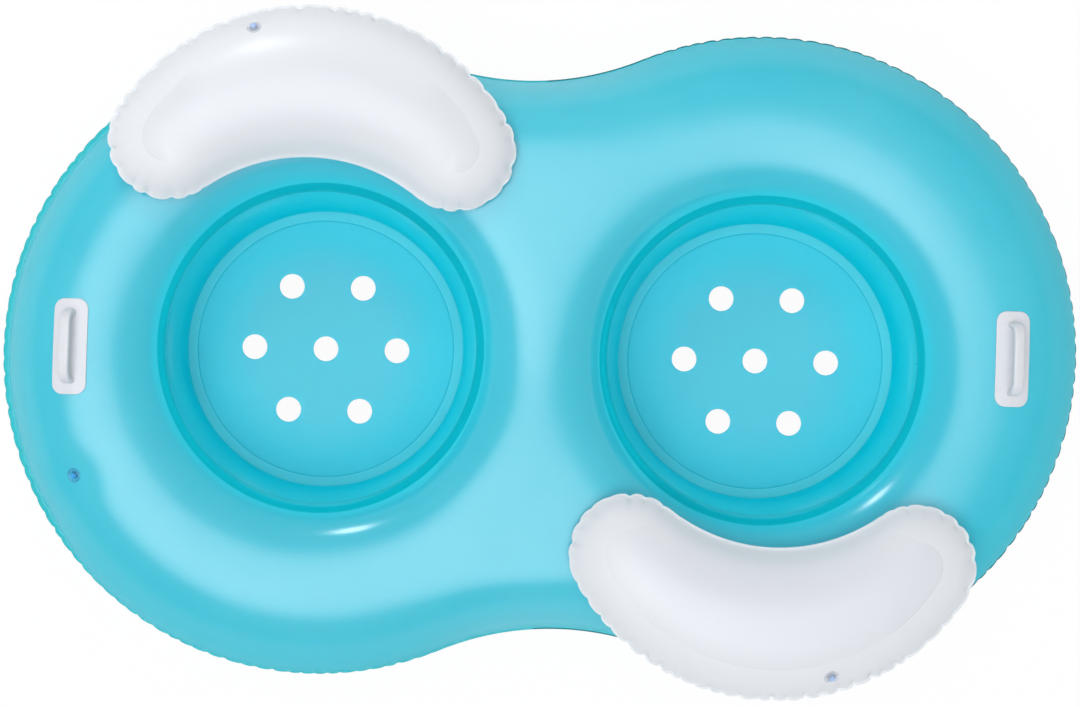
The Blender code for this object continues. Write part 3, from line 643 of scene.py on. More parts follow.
def swell(plan: np.ndarray, ids: np.ndarray, held: np.ndarray, value: np.ndarray) -> np.ndarray:
    """Solve for the squared height of an inflated sheet over its flat plan.

    A straight tube's squared height is a parabola with a second derivative of -2, and the same rule over
    the whole plan gives junctions and ridges their natural height.

    Args:
        plan: the plan's points as a closed grid, columns first.
        ids: the number of the height that each point has.
        held: whether each height is given.
        value: the heights given.

    Returns:
        The squared height of every point of the plan.
    """
    count = len(held)
    triangles = grid_triangles(np.arange(ids.size).reshape(ids.shape))
    plan = plan.reshape(-1, 2)
    a, b, c = plan[triangles[:, 0]], plan[triangles[:, 1]], plan[triangles[:, 2]]
    doubled = np.abs((b - a)[:, 0] * (c - a)[:, 1] - (b - a)[:, 1] * (c - a)[:, 0])
    alive = doubled > 1e-14
    triangles, doubled, a, b, c = triangles[alive], doubled[alive], a[alive], b[alive], c[alive]
    sides = np.stack([c - b, a - c, b - a], axis=1)
    local = np.einsum("tij,tkj->tik", sides, sides) / (2 * doubled)[:, None, None]
    corners = ids.ravel()[triangles]
    keys = (corners[:, :, None] * count + corners[:, None, :]).ravel()
    pairs, where = np.unique(keys, return_inverse=True)
    weights = np.bincount(where.ravel(), local.ravel())
    rows, columns = pairs // count, pairs % count
    load = np.bincount(corners.ravel(), np.repeat(doubled / 3, 3), count)
    diagonal = np.bincount(rows, weights * (rows == columns), count)
    return solve_held(rows, columns, weights, diagonal, load, held, value)[ids]


def solve_held(rows: np.ndarray, columns: np.ndarray, weights: np.ndarray, diagonal: np.ndarray,
               load: np.ndarray, held: np.ndarray, value: np.ndarray) -> np.ndarray:
    """Solve a sheet's equations by conjugate gradients, with some of its values given."""
    count = len(load)

    def apply(vector: np.ndarray) -> np.ndarray:
        """Multiply by the sheet's matrix."""
        return np.bincount(rows, weights * vector[columns], count)

    result = np.where(held, value, 0.0)
    left = np.where(held, 0.0, load - apply(result))
    eased = left / diagonal
    step, power = eased.copy(), left @ eased
    goal = power * SOLVER_SHARE
    for turn in range(SOLVER_TURNS):
        moved = np.where(held, 0.0, apply(step))
        size = power / (step @ moved)
        result += size * step
        left -= size * moved
        eased = left / diagonal
        fresh = left @ eased
        if fresh < goal:
            break
        step = eased + fresh / power * step
        power = fresh
    LOG.info("sheet of %d points solved in %d turns", count, turn)
    return np.maximum(result, 0.0)


def grid_triangles(ids: np.ndarray) -> np.ndarray:
    """Return the triangles of a closed grid of point numbers, columns first."""
    following = np.roll(ids, -1, axis=0)
    a, b, c, d = ids[:, :-1], ids[:, 1:], following[:, 1:], following[:, :-1]
    return np.concatenate([np.stack(corners, -1).reshape(-1, 3) for corners in ((a, b, c), (a, c, d))])


def joined_ids(points: np.ndarray) -> np.ndarray:
    """Return a grid's points as numbers, the same one for points that lie in the same place."""
    keys = np.round(points.reshape(-1, 2) / 1e-6).astype(np.int64)
    return np.unique(keys, axis=0, return_inverse=True)[1].reshape(points.shape[:-1])


def grid_normals(points: np.ndarray) -> np.ndarray:
    """Return the normals of a closed grid of points, columns first."""
    along = np.roll(points, -1, axis=0) - np.roll(points, 1, axis=0)
    across = np.gradient(points, axis=1)
    normal = np.cross(along, across)
    return normal / np.maximum(np.linalg.norm(normal, axis=-1, keepdims=True), 1e-12)


@dataclass(frozen=True)
class Puckers:
    """The small creases that a convex seam is gathered into when the air stretches the sheet."""

    seed: int
    pitch: float = 0.027
    spread: float = 0.45
    least: float = 0.45
    depth_spread: float = 0.75
    least_reach: float = 0.7
    reach_spread: float = 0.8
    sharpness: float = 1.6

    def along(self, way: np.ndarray, length: float) -> tuple[np.ndarray, np.ndarray, np.ndarray]:
        """Return how far each place along a seam is pinched, its phase between creases and its reach.

        Args:
            way: distances along the seam.
            length: the seam's whole length.
        """
        luck = np.random.default_rng(self.seed)
        count = max(4, round(length / self.pitch))
        steps = 1.0 + self.spread * (luck.random(count) - 0.5)
        creases = np.concatenate([[0.0], np.cumsum(steps)]) * length / steps.sum()
        depth = self.least + self.depth_spread * luck.random(count + 1)
        depth[-1] = depth[0]
        reach = self.least_reach + self.reach_spread * luck.random(count + 1)
        reach[-1] = reach[0]
        index = np.clip(np.searchsorted(creases, way, side="right") - 1, 0, count - 1)
        phase = (way - creases[index]) / (creases[index + 1] - creases[index])
        nearest = index + (phase > 0.5)
        pinch = (1.0 - np.abs(np.sin(np.pi * phase))) ** self.sharpness * depth[nearest]
        return pinch, phase, reach[nearest]


@dataclass
class Gathered:
    """A seam gathered into puckers: the sheet's points and how the flange outside it follows."""

    points: np.ndarray
    notch: np.ndarray
    flutter: np.ndarray
    far: np.ndarray
    crease: np.ndarray


@dataclass(frozen=True)
class Seam:
    """A welded seam of an air chamber: its columns of the sheet, its outward directions and its gathers.

    follow is the share of a notch that the sheet inside the seam keeps. ripple is the share of each
    crease's depth that runs on, faintly, to ripple_reach times the crease's own reach, and mark_reach is
    the share of that reach over which the finish paints shade into the crease.
    """

    rays: np.ndarray
    way: np.ndarray
    length: float
    weight: np.ndarray
    puckers: Puckers
    pinch_depth: float
    notch_depth: float
    ripple: np.ndarray
    reach: float = 0.020
    follow: float = 0.55
    ripple_reach: float = 2.7
    bulge: float = 0.27
    notch_reach: float = 0.012
    mark_reach: float = 0.55
    flutter: float = 0.0011

    def gather(self, points: np.ndarray) -> Gathered:
        """Press the seam's puckers into a sheet.

        Args:
            points: the sheet's points, columns first, the first columns ending on the seam.

        Returns:
            The pressed points and what the flange needs to follow them.
        """
        count = len(self.rays)
        pinch, phase, luck = self.puckers.along(self.way, self.length)
        normals = grid_normals(points)[:count]
        outward = np.concatenate([self.rays, np.zeros((count, 1))], axis=1)
        facing = np.where(np.sum(normals[:, -3] * outward, axis=1) < 0, -1.0, 1.0)
        normals = normals * facing[:, None, None]
        steps = np.linalg.norm(np.diff(points[:count], axis=1), axis=2)
        far = np.concatenate([np.cumsum(steps[:, ::-1], axis=1)[:, ::-1], np.zeros((count, 1))], axis=1)
        reach = (self.reach * luck)[:, None]
        fade = np.exp(-(far / reach) ** 1.5)
        faint = self.ripple[:, None] * np.exp(-(far / (self.ripple_reach * reach)) ** 2)
        depth = self.pinch_depth * (self.weight * pinch)[:, None] * (fade + faint)
        bulge = (self.bulge * self.pinch_depth * (self.weight * np.abs(np.sin(np.pi * phase)))[:, None]
                 * fade)
        moved = points.copy()
        moved[:count, :-1] -= (normals * (depth - bulge)[:, :, None])[:, :-1]
        notch = self.notch_depth * self.weight * pinch
        inward = notch[:, None] * np.exp(-(far / self.notch_reach) ** 2)
        moved[:count, :, :2] -= self.follow * self.rays[:, None] * inward[:, :, None]
        crease = (self.weight * pinch)[:, None] * np.exp(-(far / (self.mark_reach * reach)) ** 2)
        return Gathered(moved, notch, self.flutter * self.weight * np.sin(2 * np.pi * phase), far, crease)


# The air chamber


@dataclass
class Outline:
    """The outer seam around the left half, from the waist's upper point to its lower one."""

    lobe_spacing: float = 0.776
    lobe_shift: float = 0.016
    radius: float = 0.552
    waist_radius: float = 0.512
    far_from: tuple[float, float] = (116.0, 132.0)
    far_to: tuple[float, float] = (210.0, 228.0)
    blend_out: float = 0.03
    blend_in: float = 0.09
    arcs: list = field(default_factory=list)

    def __post_init__(self) -> None:
        """Find each arc's centre, radius, start, end and outward sign."""
        lobe = np.array([-self.lobe_spacing / 2, -self.lobe_shift])
        across = np.array([lobe[1], -lobe[0]]) / np.linalg.norm(lobe)
        waist = across * math.sqrt((self.radius + self.waist_radius) ** 2 - lobe @ lobe)
        drop = math.sqrt(self.waist_radius ** 2 - waist[0] ** 2)
        self.arcs = [
            (waist, self.waist_radius, self.angle(np.array([0.0, waist[1] - drop]) - waist),
             self.angle(lobe - waist), -1),
            (lobe, self.radius, self.angle(waist - lobe), self.angle(-waist - lobe), 1),
            (-waist, self.waist_radius, self.angle(lobe + waist),
             self.angle(np.array([0.0, drop - waist[1]]) + waist), -1)]

    @staticmethod
    def angle(vector: np.ndarray) -> float:
        """Return a plane vector's direction, from 0 to a full turn."""
        return math.atan2(vector[1], vector[0]) % math.tau

    def lengths(self) -> list[float]:
        """Return the length of each arc."""
        return [abs(end - start) * radius for _, radius, start, end, _ in self.arcs]

    def points(self, count: int) -> tuple[np.ndarray, np.ndarray, np.ndarray]:
        """Return evenly spaced points of the seam, their outward directions and their ways along it."""
        lengths = np.array(self.lengths())
        starts = np.concatenate([[0.0], np.cumsum(lengths)])
        way = np.linspace(0.0, starts[-1], count)
        arc = np.clip(np.searchsorted(starts, way, side="right") - 1, 0, 2)
        share = np.clip((way - starts[arc]) / lengths[arc], 0.0, 1.0)
        centre = np.array([entry[0] for entry in self.arcs])[arc]
        radius, begin, end, sign = (np.array([entry[k] for entry in self.arcs])[arc] for k in (1, 2, 3, 4))
        turn = begin + (end - begin) * share
        ray = np.stack([np.cos(turn), np.sin(turn)], axis=1)
        return centre + radius[:, None] * ray, sign[:, None] * ray, way

    def convexity(self, way: np.ndarray) -> np.ndarray:
        """Return 1 along the lobe, 0 along the waist and a smooth change between them."""
        first, second, _ = self.lengths()
        both = first + second
        return (smooth_step(way, first - self.blend_out, first + self.blend_in)
                * (1 - smooth_step(way, both - self.blend_in, both + self.blend_out)))

    def far_side(self, points: np.ndarray) -> np.ndarray:
        """Return 1 along the lobe's far side from the other lobe, 0 elsewhere and a smooth change."""
        away = points - self.arcs[1][0]
        turn = np.degrees(np.arctan2(away[:, 1], away[:, 0])) % 360.0
        return smooth_step(turn, *self.far_from) * (1 - smooth_step(turn, *self.far_to))


@dataclass
class ChamberSkin:
    """The chamber's top or bottom sheet, inflated between the outer seam and the wells."""

    side: Side
    edge_radius: float
    edge_height: float
    limit: float
    press: float = 1.0
    seam_columns: int = 601
    middle_columns: int = 72
    body_rows: int = 18
    seam_rows: int = 9
    flange: float = 0.004
    wide_flange: float = 0.008
    lip: float = 0.014
    lip_rise: float = 0.0012
    pinch_depth: float = 0.0026
    notch_depth: float = 0.0030
    ripple: float = 0.16
    near_turn: float = 0.34
    easing: float = 1.25
    sharpness: int = 6
    press_soft: float = 0.004
    widening_reach: float = 0.05
    ring_spread: float = 0.0045
    ring_shift: float = 0.0020
    flange_shares: tuple[float, ...] = (0.4, 0.7, 1.0)
    edge_way: float = -0.012
    left_rim: float = 0.4
    seed: int = 11
    outline: Outline = field(default_factory=Outline)

    def __post_init__(self) -> None:
        """Lay out the plan and find the heights."""
        self.well = np.array([-WELL_SPACING / 2, 0.0])
        self.seam, self.rays, self.way = self.outline.points(self.seam_columns)
        top, bottom = self.seam[0], self.seam[-1]
        shares = (1 - np.cos(np.pi * np.arange(1, self.middle_columns) / self.middle_columns)) / 2
        self.ends = np.concatenate([self.seam, bottom + (top - bottom) * shares[:, None]])
        away = self.ends - self.well
        self.inward = -away / np.linalg.norm(away, axis=1)[:, None]
        self.starts = self.well - self.edge_radius * self.inward
        self.plan = self._plan()
        self.height = self._height()

    def _plan(self) -> np.ndarray:
        """Return the plan's points, columns first, in rows that are close together at the seam."""
        turn = math.pi - 2 * math.atan(self.edge_height / (self.outline.radius - self.edge_radius))
        near = self.near_turn
        rows = np.concatenate([[turn], np.linspace(turn, near, self.body_rows + 1)[1:-1],
                               near * np.linspace(1.0, 0.0, self.seam_rows) ** self.easing])
        shares = 1 - (1 - np.cos(rows)) / (1 - math.cos(turn))
        return self.starts[:, None, :] + shares[None, :, None] * (self.ends - self.starts)[:, None, :]

    def _height(self) -> np.ndarray:
        """Return every point's height over the outer seam's plane."""
        folded = self.plan.copy()
        middle = np.abs(folded[..., 0]) < 1e-7
        folded[middle, 1] = np.abs(folded[middle, 1])
        ids = joined_ids(folded)
        held = np.zeros(ids.max() + 1, dtype=bool)
        value = np.zeros(ids.max() + 1)
        held[ids[:, 0]] = True
        value[ids[:, 0]] = self.edge_height ** 2
        held[ids[:self.seam_columns, -1]] = True
        squared = swell(self.plan, ids, held, value)
        held_down = (1 + (squared / self.limit ** 2) ** self.sharpness) ** (1 / self.sharpness)
        height = np.sqrt(squared / held_down)
        height[:, 0] = self.edge_height
        height[:self.seam_columns, -1] = 0.0
        over = np.maximum(height - (self.press - self.press_soft), 0.0)
        return np.where(over > 0, self.press - self.press_soft * np.exp(-over / self.press_soft), height)

    def _half(self, half: Half, seed: int) -> tuple[np.ndarray, Gathered]:
        """Return a half's unturned points with the wells' lips, columns first, and the gathered seam."""
        side, count = self.side.value, self.seam_columns
        points = np.concatenate([self.plan, side * self.height[:, :, None]], axis=2)
        points[:count, -1, 2] = side * (SHEET + GAP) / 2
        far = np.linalg.norm(self.plan[:count] - self.seam[:, None], axis=2)
        inward = self._widening(half)[:, None] * np.exp(-(far / self.widening_reach) ** 2)
        points[:count, :, :2] -= self.rays[:, None] * inward[:, :, None]
        seam = Seam(self.rays, self.way, self.way[-1], self.outline.convexity(self.way), Puckers(seed),
                    self.pinch_depth, self.notch_depth, np.full(len(self.way), self.ripple))
        gathered = seam.gather(points)
        lips = []
        for share in (1.0, 0.5):
            place = self.starts + share * self.lip * self.inward
            level = np.full((len(place), 1), side * self.edge_height + self.lip_rise * share)
            lips.append(np.concatenate([place, level], axis=1))
        return np.concatenate([np.stack(lips, axis=1), gathered.points], axis=1), gathered

    def _widening(self, half: Half) -> np.ndarray:
        """Return how much wider than elsewhere the flange is along the seam of a half."""
        return self.wide_flange * self.outline.far_side(self.seam) * (half is Half.LEFT)

    def mesh(self, name: str) -> bpy.types.Mesh:
        """Return the sheet over both wells."""
        shell = bmesh.new()
        ring_way, seam_way, _ = float_layers(shell, "ring_way", "seam_way", "rim")
        for half in Half:
            body, gathered = self._half(half, self.seed + half.value)
            grid = lay_rows(shell, [self._turned(row, half) for row in body.transpose(1, 0, 2)])
            steps = np.linalg.norm(np.diff(gathered.points, axis=1), axis=2)
            out = np.concatenate([np.zeros((len(steps), 1)), np.cumsum(steps, axis=1)], axis=1)
            spread = self.inward[:, 1] * (self.ring_spread * self.inward[:, 1] + self.ring_shift * half.value)
            from_seam = self._from_seam(gathered.points)
            for index, row in enumerate(grid):
                for column, vertex in enumerate(row):
                    way = out[column, index - 2] if index > 1 else -self.lip * (1 - index / 2)
                    vertex[ring_way] = way - spread[column] * (index > 0)
                    vertex[seam_way] = from_seam[column, index - 2] if index > 1 else 1.0
            self._add_flange(shell, grid[-1][:self.seam_columns], half, gathered)
        bmesh.ops.remove_doubles(shell, verts=shell.verts, dist=0.00001)
        face_towards(shell, UP)
        return to_mesh(shell, name)

    def _from_seam(self, points: np.ndarray) -> np.ndarray:
        """Return every point's straight distance from the seam, columns first."""
        count = self.seam_columns
        own = np.linalg.norm(points[:count] - points[:count, -1:], axis=2)
        every = np.concatenate([points[:count:4, -1], points[count - 1:count, -1]])
        middle = np.linalg.norm(points[count:, :, None] - every, axis=3).min(axis=2)
        return np.concatenate([own, middle])

    @staticmethod
    def _turned(row: np.ndarray, half: Half) -> np.ndarray:
        """Return a row of points on its half of the raft, standing on the ground."""
        return row * np.array([half.value, half.value, 1.0]) + np.array([0.0, 0.0, REST_DEPTH])

    def _add_flange(self, shell: BMesh, seam: list[BMVert], half: Half, gathered: Gathered) -> None:
        """Extrude the welded flange out of the seam."""
        order, layers = shell.verts.layers.int["order"], shell.verts.layers.float
        edges = [shell.edges.get(pair) for pair in row_pairs(seam, False)]
        lift = self.side.value * (SHEET + GAP) / 2
        wide, follow = self._widening(half), Seam.follow
        for share in self.flange_shares:
            reach = (self.flange + wide) * share - wide - gathered.notch * (follow + (1 - follow) * share)
            place = np.concatenate([self.seam + self.rays * reach[:, None],
                                    (lift + gathered.flutter * share)[:, None]], axis=1)
            vertices, edges = extrude_row(shell, edges, order)
            for vertex, point in zip(vertices, self._turned(place, half)):
                vertex.co = point
                vertex[layers["ring_way"]] = 1.0
                vertex[layers["seam_way"]] = self.edge_way * share
                vertex[layers["rim"]] = share * (1.0 if half is Half.RIGHT else self.left_rim)


class Ground:
    """A finished surface that other pieces are set on."""

    def __init__(self, mesh: bpy.types.Mesh) -> None:
        """Make a search tree over a mesh."""
        shell = bmesh.new()
        shell.from_mesh(mesh)
        self.tree = BVHTree.FromBMesh(shell)
        shell.free()

    def height(self, x: float, y: float) -> float | None:
        """Return the surface's height over a point of the plan, or None beside it."""
        point = self.tree.ray_cast(Vector((x, y, 1.0)), -UP)[0]
        return None if point is None else point.z

    def below(self, spot: Spot, x: float, y: float) -> Vector | None:
        """Return the surface's point under a place in a spot's own plane, or None beside it."""
        return self.tree.ray_cast(spot.matrix @ Vector((x, y, ABOVE)), -spot.normal)[0]


@dataclass(frozen=True)
class Spot:
    """A place on a sheet, with the sheet's own directions there."""

    matrix: Matrix

    @property
    def point(self) -> Vector:
        """The place."""
        return self.matrix.translation

    @property
    def normal(self) -> Vector:
        """The sheet's outward direction."""
        return self.matrix.to_3x3().col[2].normalized()

    def settle(self, mesh: bpy.types.Mesh, reach: float) -> None:
        """Draw a sheet smoothly to the place, as the piece that is welded on there holds it."""
        found = Ground(mesh).below(self, 0.0, 0.0)
        if found is None:
            return
        drop = (found - self.point).dot(self.normal)
        points = np.zeros(len(mesh.vertices) * 3, dtype=np.float32)
        mesh.vertices.foreach_get("co", points)
        points = points.reshape(-1, 3).astype(float)
        far = np.linalg.norm(points - np.array(self.point), axis=1)
        points -= np.array(self.normal) * (drop * np.exp(-(far / reach) ** 2))[:, None]
        mesh.vertices.foreach_set("co", points.astype(np.float32).ravel())
        mesh.update()
        LOG.info("sheet drawn by %.2f mm", drop * 1000)


def drill(item: bpy.types.Object, spot: Spot, radius: float, depth: float) -> None:
    """Cut a round hole through a sheet at a place on it."""
    tool = bmesh.new()
    bmesh.ops.create_cone(tool, cap_ends=True, segments=48, radius1=radius, radius2=radius, depth=2 * depth,
                          matrix=spot.matrix)
    cutter = to_object(to_mesh(tool, "hole"))
    modifier = item.modifiers.new("hole", "BOOLEAN")
    modifier.object = cutter
    modifier.operation = "DIFFERENCE"
    modifier.solver = "EXACT"
    bake(item)
    bpy.data.objects.remove(cutter, do_unlink=True)


# Wells


@dataclass
class Well:
    """A well's wall, which bulges inward between two welded seams, and its floor."""

    half: Half
    ring_radius: float = 0.282
    ring_height: float = 0.105
    floor_radius: float = 0.244
    floor_drop: float = 0.050
    ring_flange: float = 0.014
    floor_flange: float = 0.016
    lip_rise: float = 0.0012
    bulge_radius: float = 0.300
    wall_rows: int = 22
    columns: int = 288
    hole_radius: float = 0.022
    hole_circle: float = 0.126
    hole_count: int = 6
    sag: float = 0.0016
    weld_step: float = 0.0006
    weld_width: float = 0.0009
    weld_rows: tuple[float, ...] = (-0.006, -0.0030, -0.0012, -0.0004, 0.0004, 0.0012)
    hole_rows: tuple[float, ...] = (0.004, 0.0012, 0.0)
    hole_columns: int = 48
    lap_reach: float = 0.1

    def _profile(self) -> list[tuple[float, float]]:
        """Return the wall's radii and heights from its upper flange to its lower one."""
        ring = Vector((self.ring_radius, self.ring_height - SHEET - GAP))
        foot = Vector((self.floor_radius, -self.floor_drop + SHEET + GAP))
        chord = foot - ring
        outward = Vector((-chord.y, chord.x)).normalized()
        centre = (ring + foot) / 2 + outward * math.sqrt(self.bulge_radius ** 2 - (chord.length / 2) ** 2)
        start = math.atan2(ring.y - centre.y, ring.x - centre.x) % math.tau
        end = math.atan2(foot.y - centre.y, foot.x - centre.x) % math.tau
        arc = [(centre.x + self.bulge_radius * math.cos(turn), centre.y + self.bulge_radius * math.sin(turn))
               for turn in np.linspace(start, end, self.wall_rows + 1)]
        lip = [(self.ring_radius - self.ring_flange, ring.y + self.lip_rise),
               (self.ring_radius - self.ring_flange / 2, ring.y + self.lip_rise / 2)]
        return [*lip, *arc, (self.floor_radius - self.floor_flange, foot.y)]

    def wall(self, name: str) -> bpy.types.Mesh:
        """Return the wall's sheet, with the place where its ends overlap marked on the outer side of the
        raft.
        """
        shell = bmesh.new()
        ring_way, seam_way, lap_way = float_layers(shell, "ring_way", "seam_way", "lap_way")
        corners = [shell.verts.new((radius, 0.0, height)) for radius, height in self._profile()]
        way = 0.0
        for index, corner in enumerate(corners):
            step = (corner.co - corners[index - 1].co).length if index else 0.0
            way += step
            corner[ring_way] = way - self.ring_flange
        whole = corners[-1][ring_way]
        for corner in corners:
            corner[seam_way] = whole - self.floor_flange - corner[ring_way]
        spin_profile(shell, corners, False, self.columns)
        for vertex in shell.verts:
            around = math.atan2(vertex.co.y, -self.half.value * vertex.co.x) * self.floor_radius
            vertex[lap_way] = max(-self.lap_reach, min(self.lap_reach, around))
        bmesh.ops.recalc_face_normals(shell, faces=shell.faces)
        bmesh.ops.translate(shell, verts=shell.verts, vec=self.half.well)
        return to_mesh(shell, name)

    def _circle(self, shell: BMesh, centre: tuple[float, float], radii: list[float], steps: int
                ) -> list[list[BMVert]]:
        """Lay rings around a centre, the first of them the one that is left open."""
        turns = np.linspace(0.0, math.tau, steps, endpoint=False)
        ray = np.stack([np.cos(turns), np.sin(turns), np.zeros(steps)], axis=1)
        return lay_rows(shell, [np.array([*centre, 0.0]) + radius * ray for radius in radii])

    def floor(self, name: str) -> bpy.types.Mesh:
        """Return the floor's sheet with its drain holes."""
        shell = bmesh.new()
        edge = self.floor_radius - GAP
        inner = self.floor_radius - self.floor_flange
        rim = self._circle(shell, (0.0, 0.0), [*(inner + row for row in self.weld_rows), edge], self.columns)
        spots = [(0.0, 0.0)] + [(self.hole_circle * math.cos(math.tau * k / self.hole_count),
                                 self.hole_circle * math.sin(math.tau * k / self.hole_count))
                                for k in range(self.hole_count)]
        loops = [rim[0]]
        for spot in spots:
            loops.append(self._circle(shell, spot, [self.hole_radius + row for row in self.hole_rows],
                                      self.hole_columns)[0])
        edges = [shell.edges.get(pair) for loop in loops for pair in row_pairs(loop)]
        filled = bmesh.ops.triangle_fill(shell, use_beauty=True, use_dissolve=False, edges=edges)["geom"]
        inside = [item for item in filled if isinstance(item, BMEdge)]
        for _ in range(2):
            made = bmesh.ops.subdivide_edges(shell, edges=inside, cuts=1, use_grid_fill=True)
            inside = [item for item in made["geom"] if isinstance(item, BMEdge)]
        ring_way, seam_way = float_layers(shell, "ring_way", "seam_way")
        for vertex in shell.verts:
            radius = vertex.co.to_2d().length
            vertex[ring_way] = 1.0
            vertex[seam_way] = inner - radius
            vertex.co.z -= self.sag * float(1 - smooth_step(radius, 0.0, inner))
            vertex.co.z -= self.weld_step * math.exp(-((radius - inner) / self.weld_width) ** 2)
        face_towards(shell, UP)
        bmesh.ops.translate(shell, verts=shell.verts, vec=self.half.well - Vector((0, 0, self.floor_drop)))
        return to_mesh(shell, name)

    def build(self, palette: Palette) -> None:
        """Make the wall and the floor."""
        for kind, finish in (("wall", palette.wall), ("floor", palette.floor)):
            node = f"well_{kind}_{self.half.label}"
            item = to_object(getattr(self, kind)(f"{node}_sheet"), finish)
            thicken(item, SHEET)
            dress(item, BODY, f"{kind}_vinyl", node)


# Pillows


@dataclass
class Pillow:
    """A crescent pillow of two welded panels, the lower one pressed onto the air chamber."""

    half: Half
    offset: float = 0.0247
    angle: float = -0.71
    inner_radius: float = 0.3040
    inner_centre: float = 0.0206
    outer_radius: float = 0.3865
    width: float = 0.2525
    end_radius: float = 0.0993
    flange: float = 0.004
    slack: float = 1.2
    inner_slack: float = 0.25
    fillet: float = 0.010
    fillet_share: float = 0.9
    flange_follow: float = 0.2
    end_stretch: float = 1.5
    crown: float = 0.062
    belly: float = 0.046
    seat: float = 0.0013
    side_columns: int = 210
    end_columns: int = 72
    rows: int = 20
    contour_outer: float = 0.072
    contour_inner: float = 0.026
    blend_out: float = 0.07
    blend_in: float = 0.05
    end_blend: float = 0.03
    seed: int = 31
    pucker_pitch: float = 0.026
    pucker_spread: float = 0.8
    pucker_least: float = 0.15
    pinch_depth: float = 0.0018
    notch_depth: float = 0.0060
    crease_reach: float = 0.016
    least_ripple: float = 0.12
    end_ripple: float = 0.5
    valve_hold: float = 0.035
    valve_hole: float = 0.0078
    valve_hole_depth: float = 0.036

    def __post_init__(self) -> None:
        """Lay out the seam and the middle line."""
        apart = self.inner_radius + self.width - self.outer_radius
        self.inner = np.array([0.0, self.inner_centre])
        self.outer = self.inner + np.array([0.0, apart])
        from_inner = self.inner_radius + self.end_radius
        from_outer = self.outer_radius - self.end_radius
        along = (from_inner ** 2 - from_outer ** 2 + apart ** 2) / (2 * apart)
        self.end = np.array([math.sqrt(from_inner ** 2 - along ** 2), self.inner_centre + along])
        turn = math.radians(self.angle)
        self.turn = self.half.value * np.array([[math.cos(turn), math.sin(turn)],
                                                [-math.sin(turn), math.cos(turn)]])
        self.place = self.half.value * np.array([-WELL_SPACING / 2 - self.offset, 0.0])
        self._lay_out()

    @staticmethod
    def _arc(centre: np.ndarray, radius: float, start: float, stop: float, count: int
             ) -> tuple[np.ndarray, np.ndarray]:
        """Return points and directions along an arc."""
        turns = np.linspace(start, stop, count + 1)
        rays = np.stack([np.cos(turns), np.sin(turns)], axis=1)
        return centre + radius * rays, rays

    def _lay_out(self) -> None:
        """Find the seam's points, their outward directions, their weights and the spine."""
        mirror = np.array([-1.0, 1.0])
        outer_turn = Outline.angle(self.end - self.outer)
        inner_turn = Outline.angle(self.end - self.inner)
        outer = self._arc(self.outer, self.outer_radius, outer_turn, math.pi - outer_turn, self.side_columns)
        cap = self._arc(self.end, self.end_radius, inner_turn - math.pi, outer_turn, self.end_columns)
        inner = self._arc(self.inner, self.inner_radius, math.pi - inner_turn, inner_turn, self.side_columns)
        spine = self._spine((outer[0] + inner[0][::-1]) / 2)
        self.seam = np.concatenate([outer[0][:-1], (cap[0] * mirror)[::-1][:-1], inner[0][:-1], cap[0][:-1]])
        self.rays = np.concatenate([outer[1][:-1], (cap[1] * mirror)[::-1][:-1], -inner[1][:-1],
                                    cap[1][:-1]])
        self.spine = np.concatenate([spine[:-1], np.repeat([self.end * mirror], self.end_columns, axis=0),
                                     spine[::-1][:-1], np.repeat([self.end], self.end_columns, axis=0)])
        step = np.linalg.norm(np.roll(self.seam, -1, axis=0) - self.seam, axis=1)
        self.length = step.sum()
        self.way = np.cumsum(step) - step
        first = self.side_columns + self.end_columns
        inner_way = self.way[first:first + self.side_columns]
        start, stop = inner_way[0], inner_way[-1]
        concave = (smooth_step(self.way, start - self.blend_out, start + self.blend_in)
                   * (1 - smooth_step(self.way, stop - self.blend_in, stop + self.blend_out)))
        self.weight = 1.0 - concave
        self.power = self.slack + self.inner_slack * concave
        across = np.abs(self.seam[:, 0])
        ends = smooth_step(across, self.end[0] - self.end_blend, self.end[0] + self.end_blend)
        first_end = ends * (self.seam[:, 0] < 0)
        self.ripple = self.least_ripple + self.end_ripple * first_end * (self.half is Half.LEFT)
        pace = np.cumsum(step / (1.0 + (self.end_stretch - 1.0) * ends))
        self.pucker_way, self.pucker_length = np.concatenate([[0.0], pace[:-1]]), pace[-1]
        self.contour = self.contour_outer + (self.contour_inner - self.contour_outer) * concave
        # How clearly the lower panel's weld shows through, which also shapes the painted shade inside it: at
        # the ends, and on the right along the outside.
        outside = (1 - concave) * (1 - ends)
        self.contour_weight = {Half.LEFT: 0.05 + 0.75 * ends,
                               Half.RIGHT: 0.10 + 0.45 * outside + 0.25 * ends + 0.65 * first_end}[self.half]

    def _spine(self, middle: np.ndarray) -> np.ndarray:
        """Return the panel's middle line at even steps from one end's centre to the other's."""
        along = np.linspace(self.end[0], -self.end[0], len(middle))
        level = np.interp(along, middle[::-1, 0], middle[::-1, 1])
        level += (self.end[1] - level[0]) * (along / self.end[0]) ** 4
        return np.stack([along, level], axis=1)

    def _panel(self) -> tuple[np.ndarray, np.ndarray]:
        """Return the panel's flat points and each one's share of the full height, columns first."""
        shares = 1 - np.cos(np.linspace(0, math.pi / 2, self.rows + 1))
        flat = self.seam[:, None, :] + shares[None, :, None] * (self.spine - self.seam)[:, None, :]
        ids = joined_ids(flat)
        held = np.zeros(ids.max() + 1, dtype=bool)
        held[ids[:, 0]] = True
        squared = swell(flat, ids, held, np.zeros(len(held)))
        share = np.sqrt(squared / squared.max())
        ridge = share[:, -1:]
        inside = np.linalg.norm(flat - self.seam[:, None], axis=2)
        rounding = 1 - self.fillet_share * np.exp(-inside / self.fillet)
        return flat, ridge * (share / ridge) ** self.power[:, None] * rounding

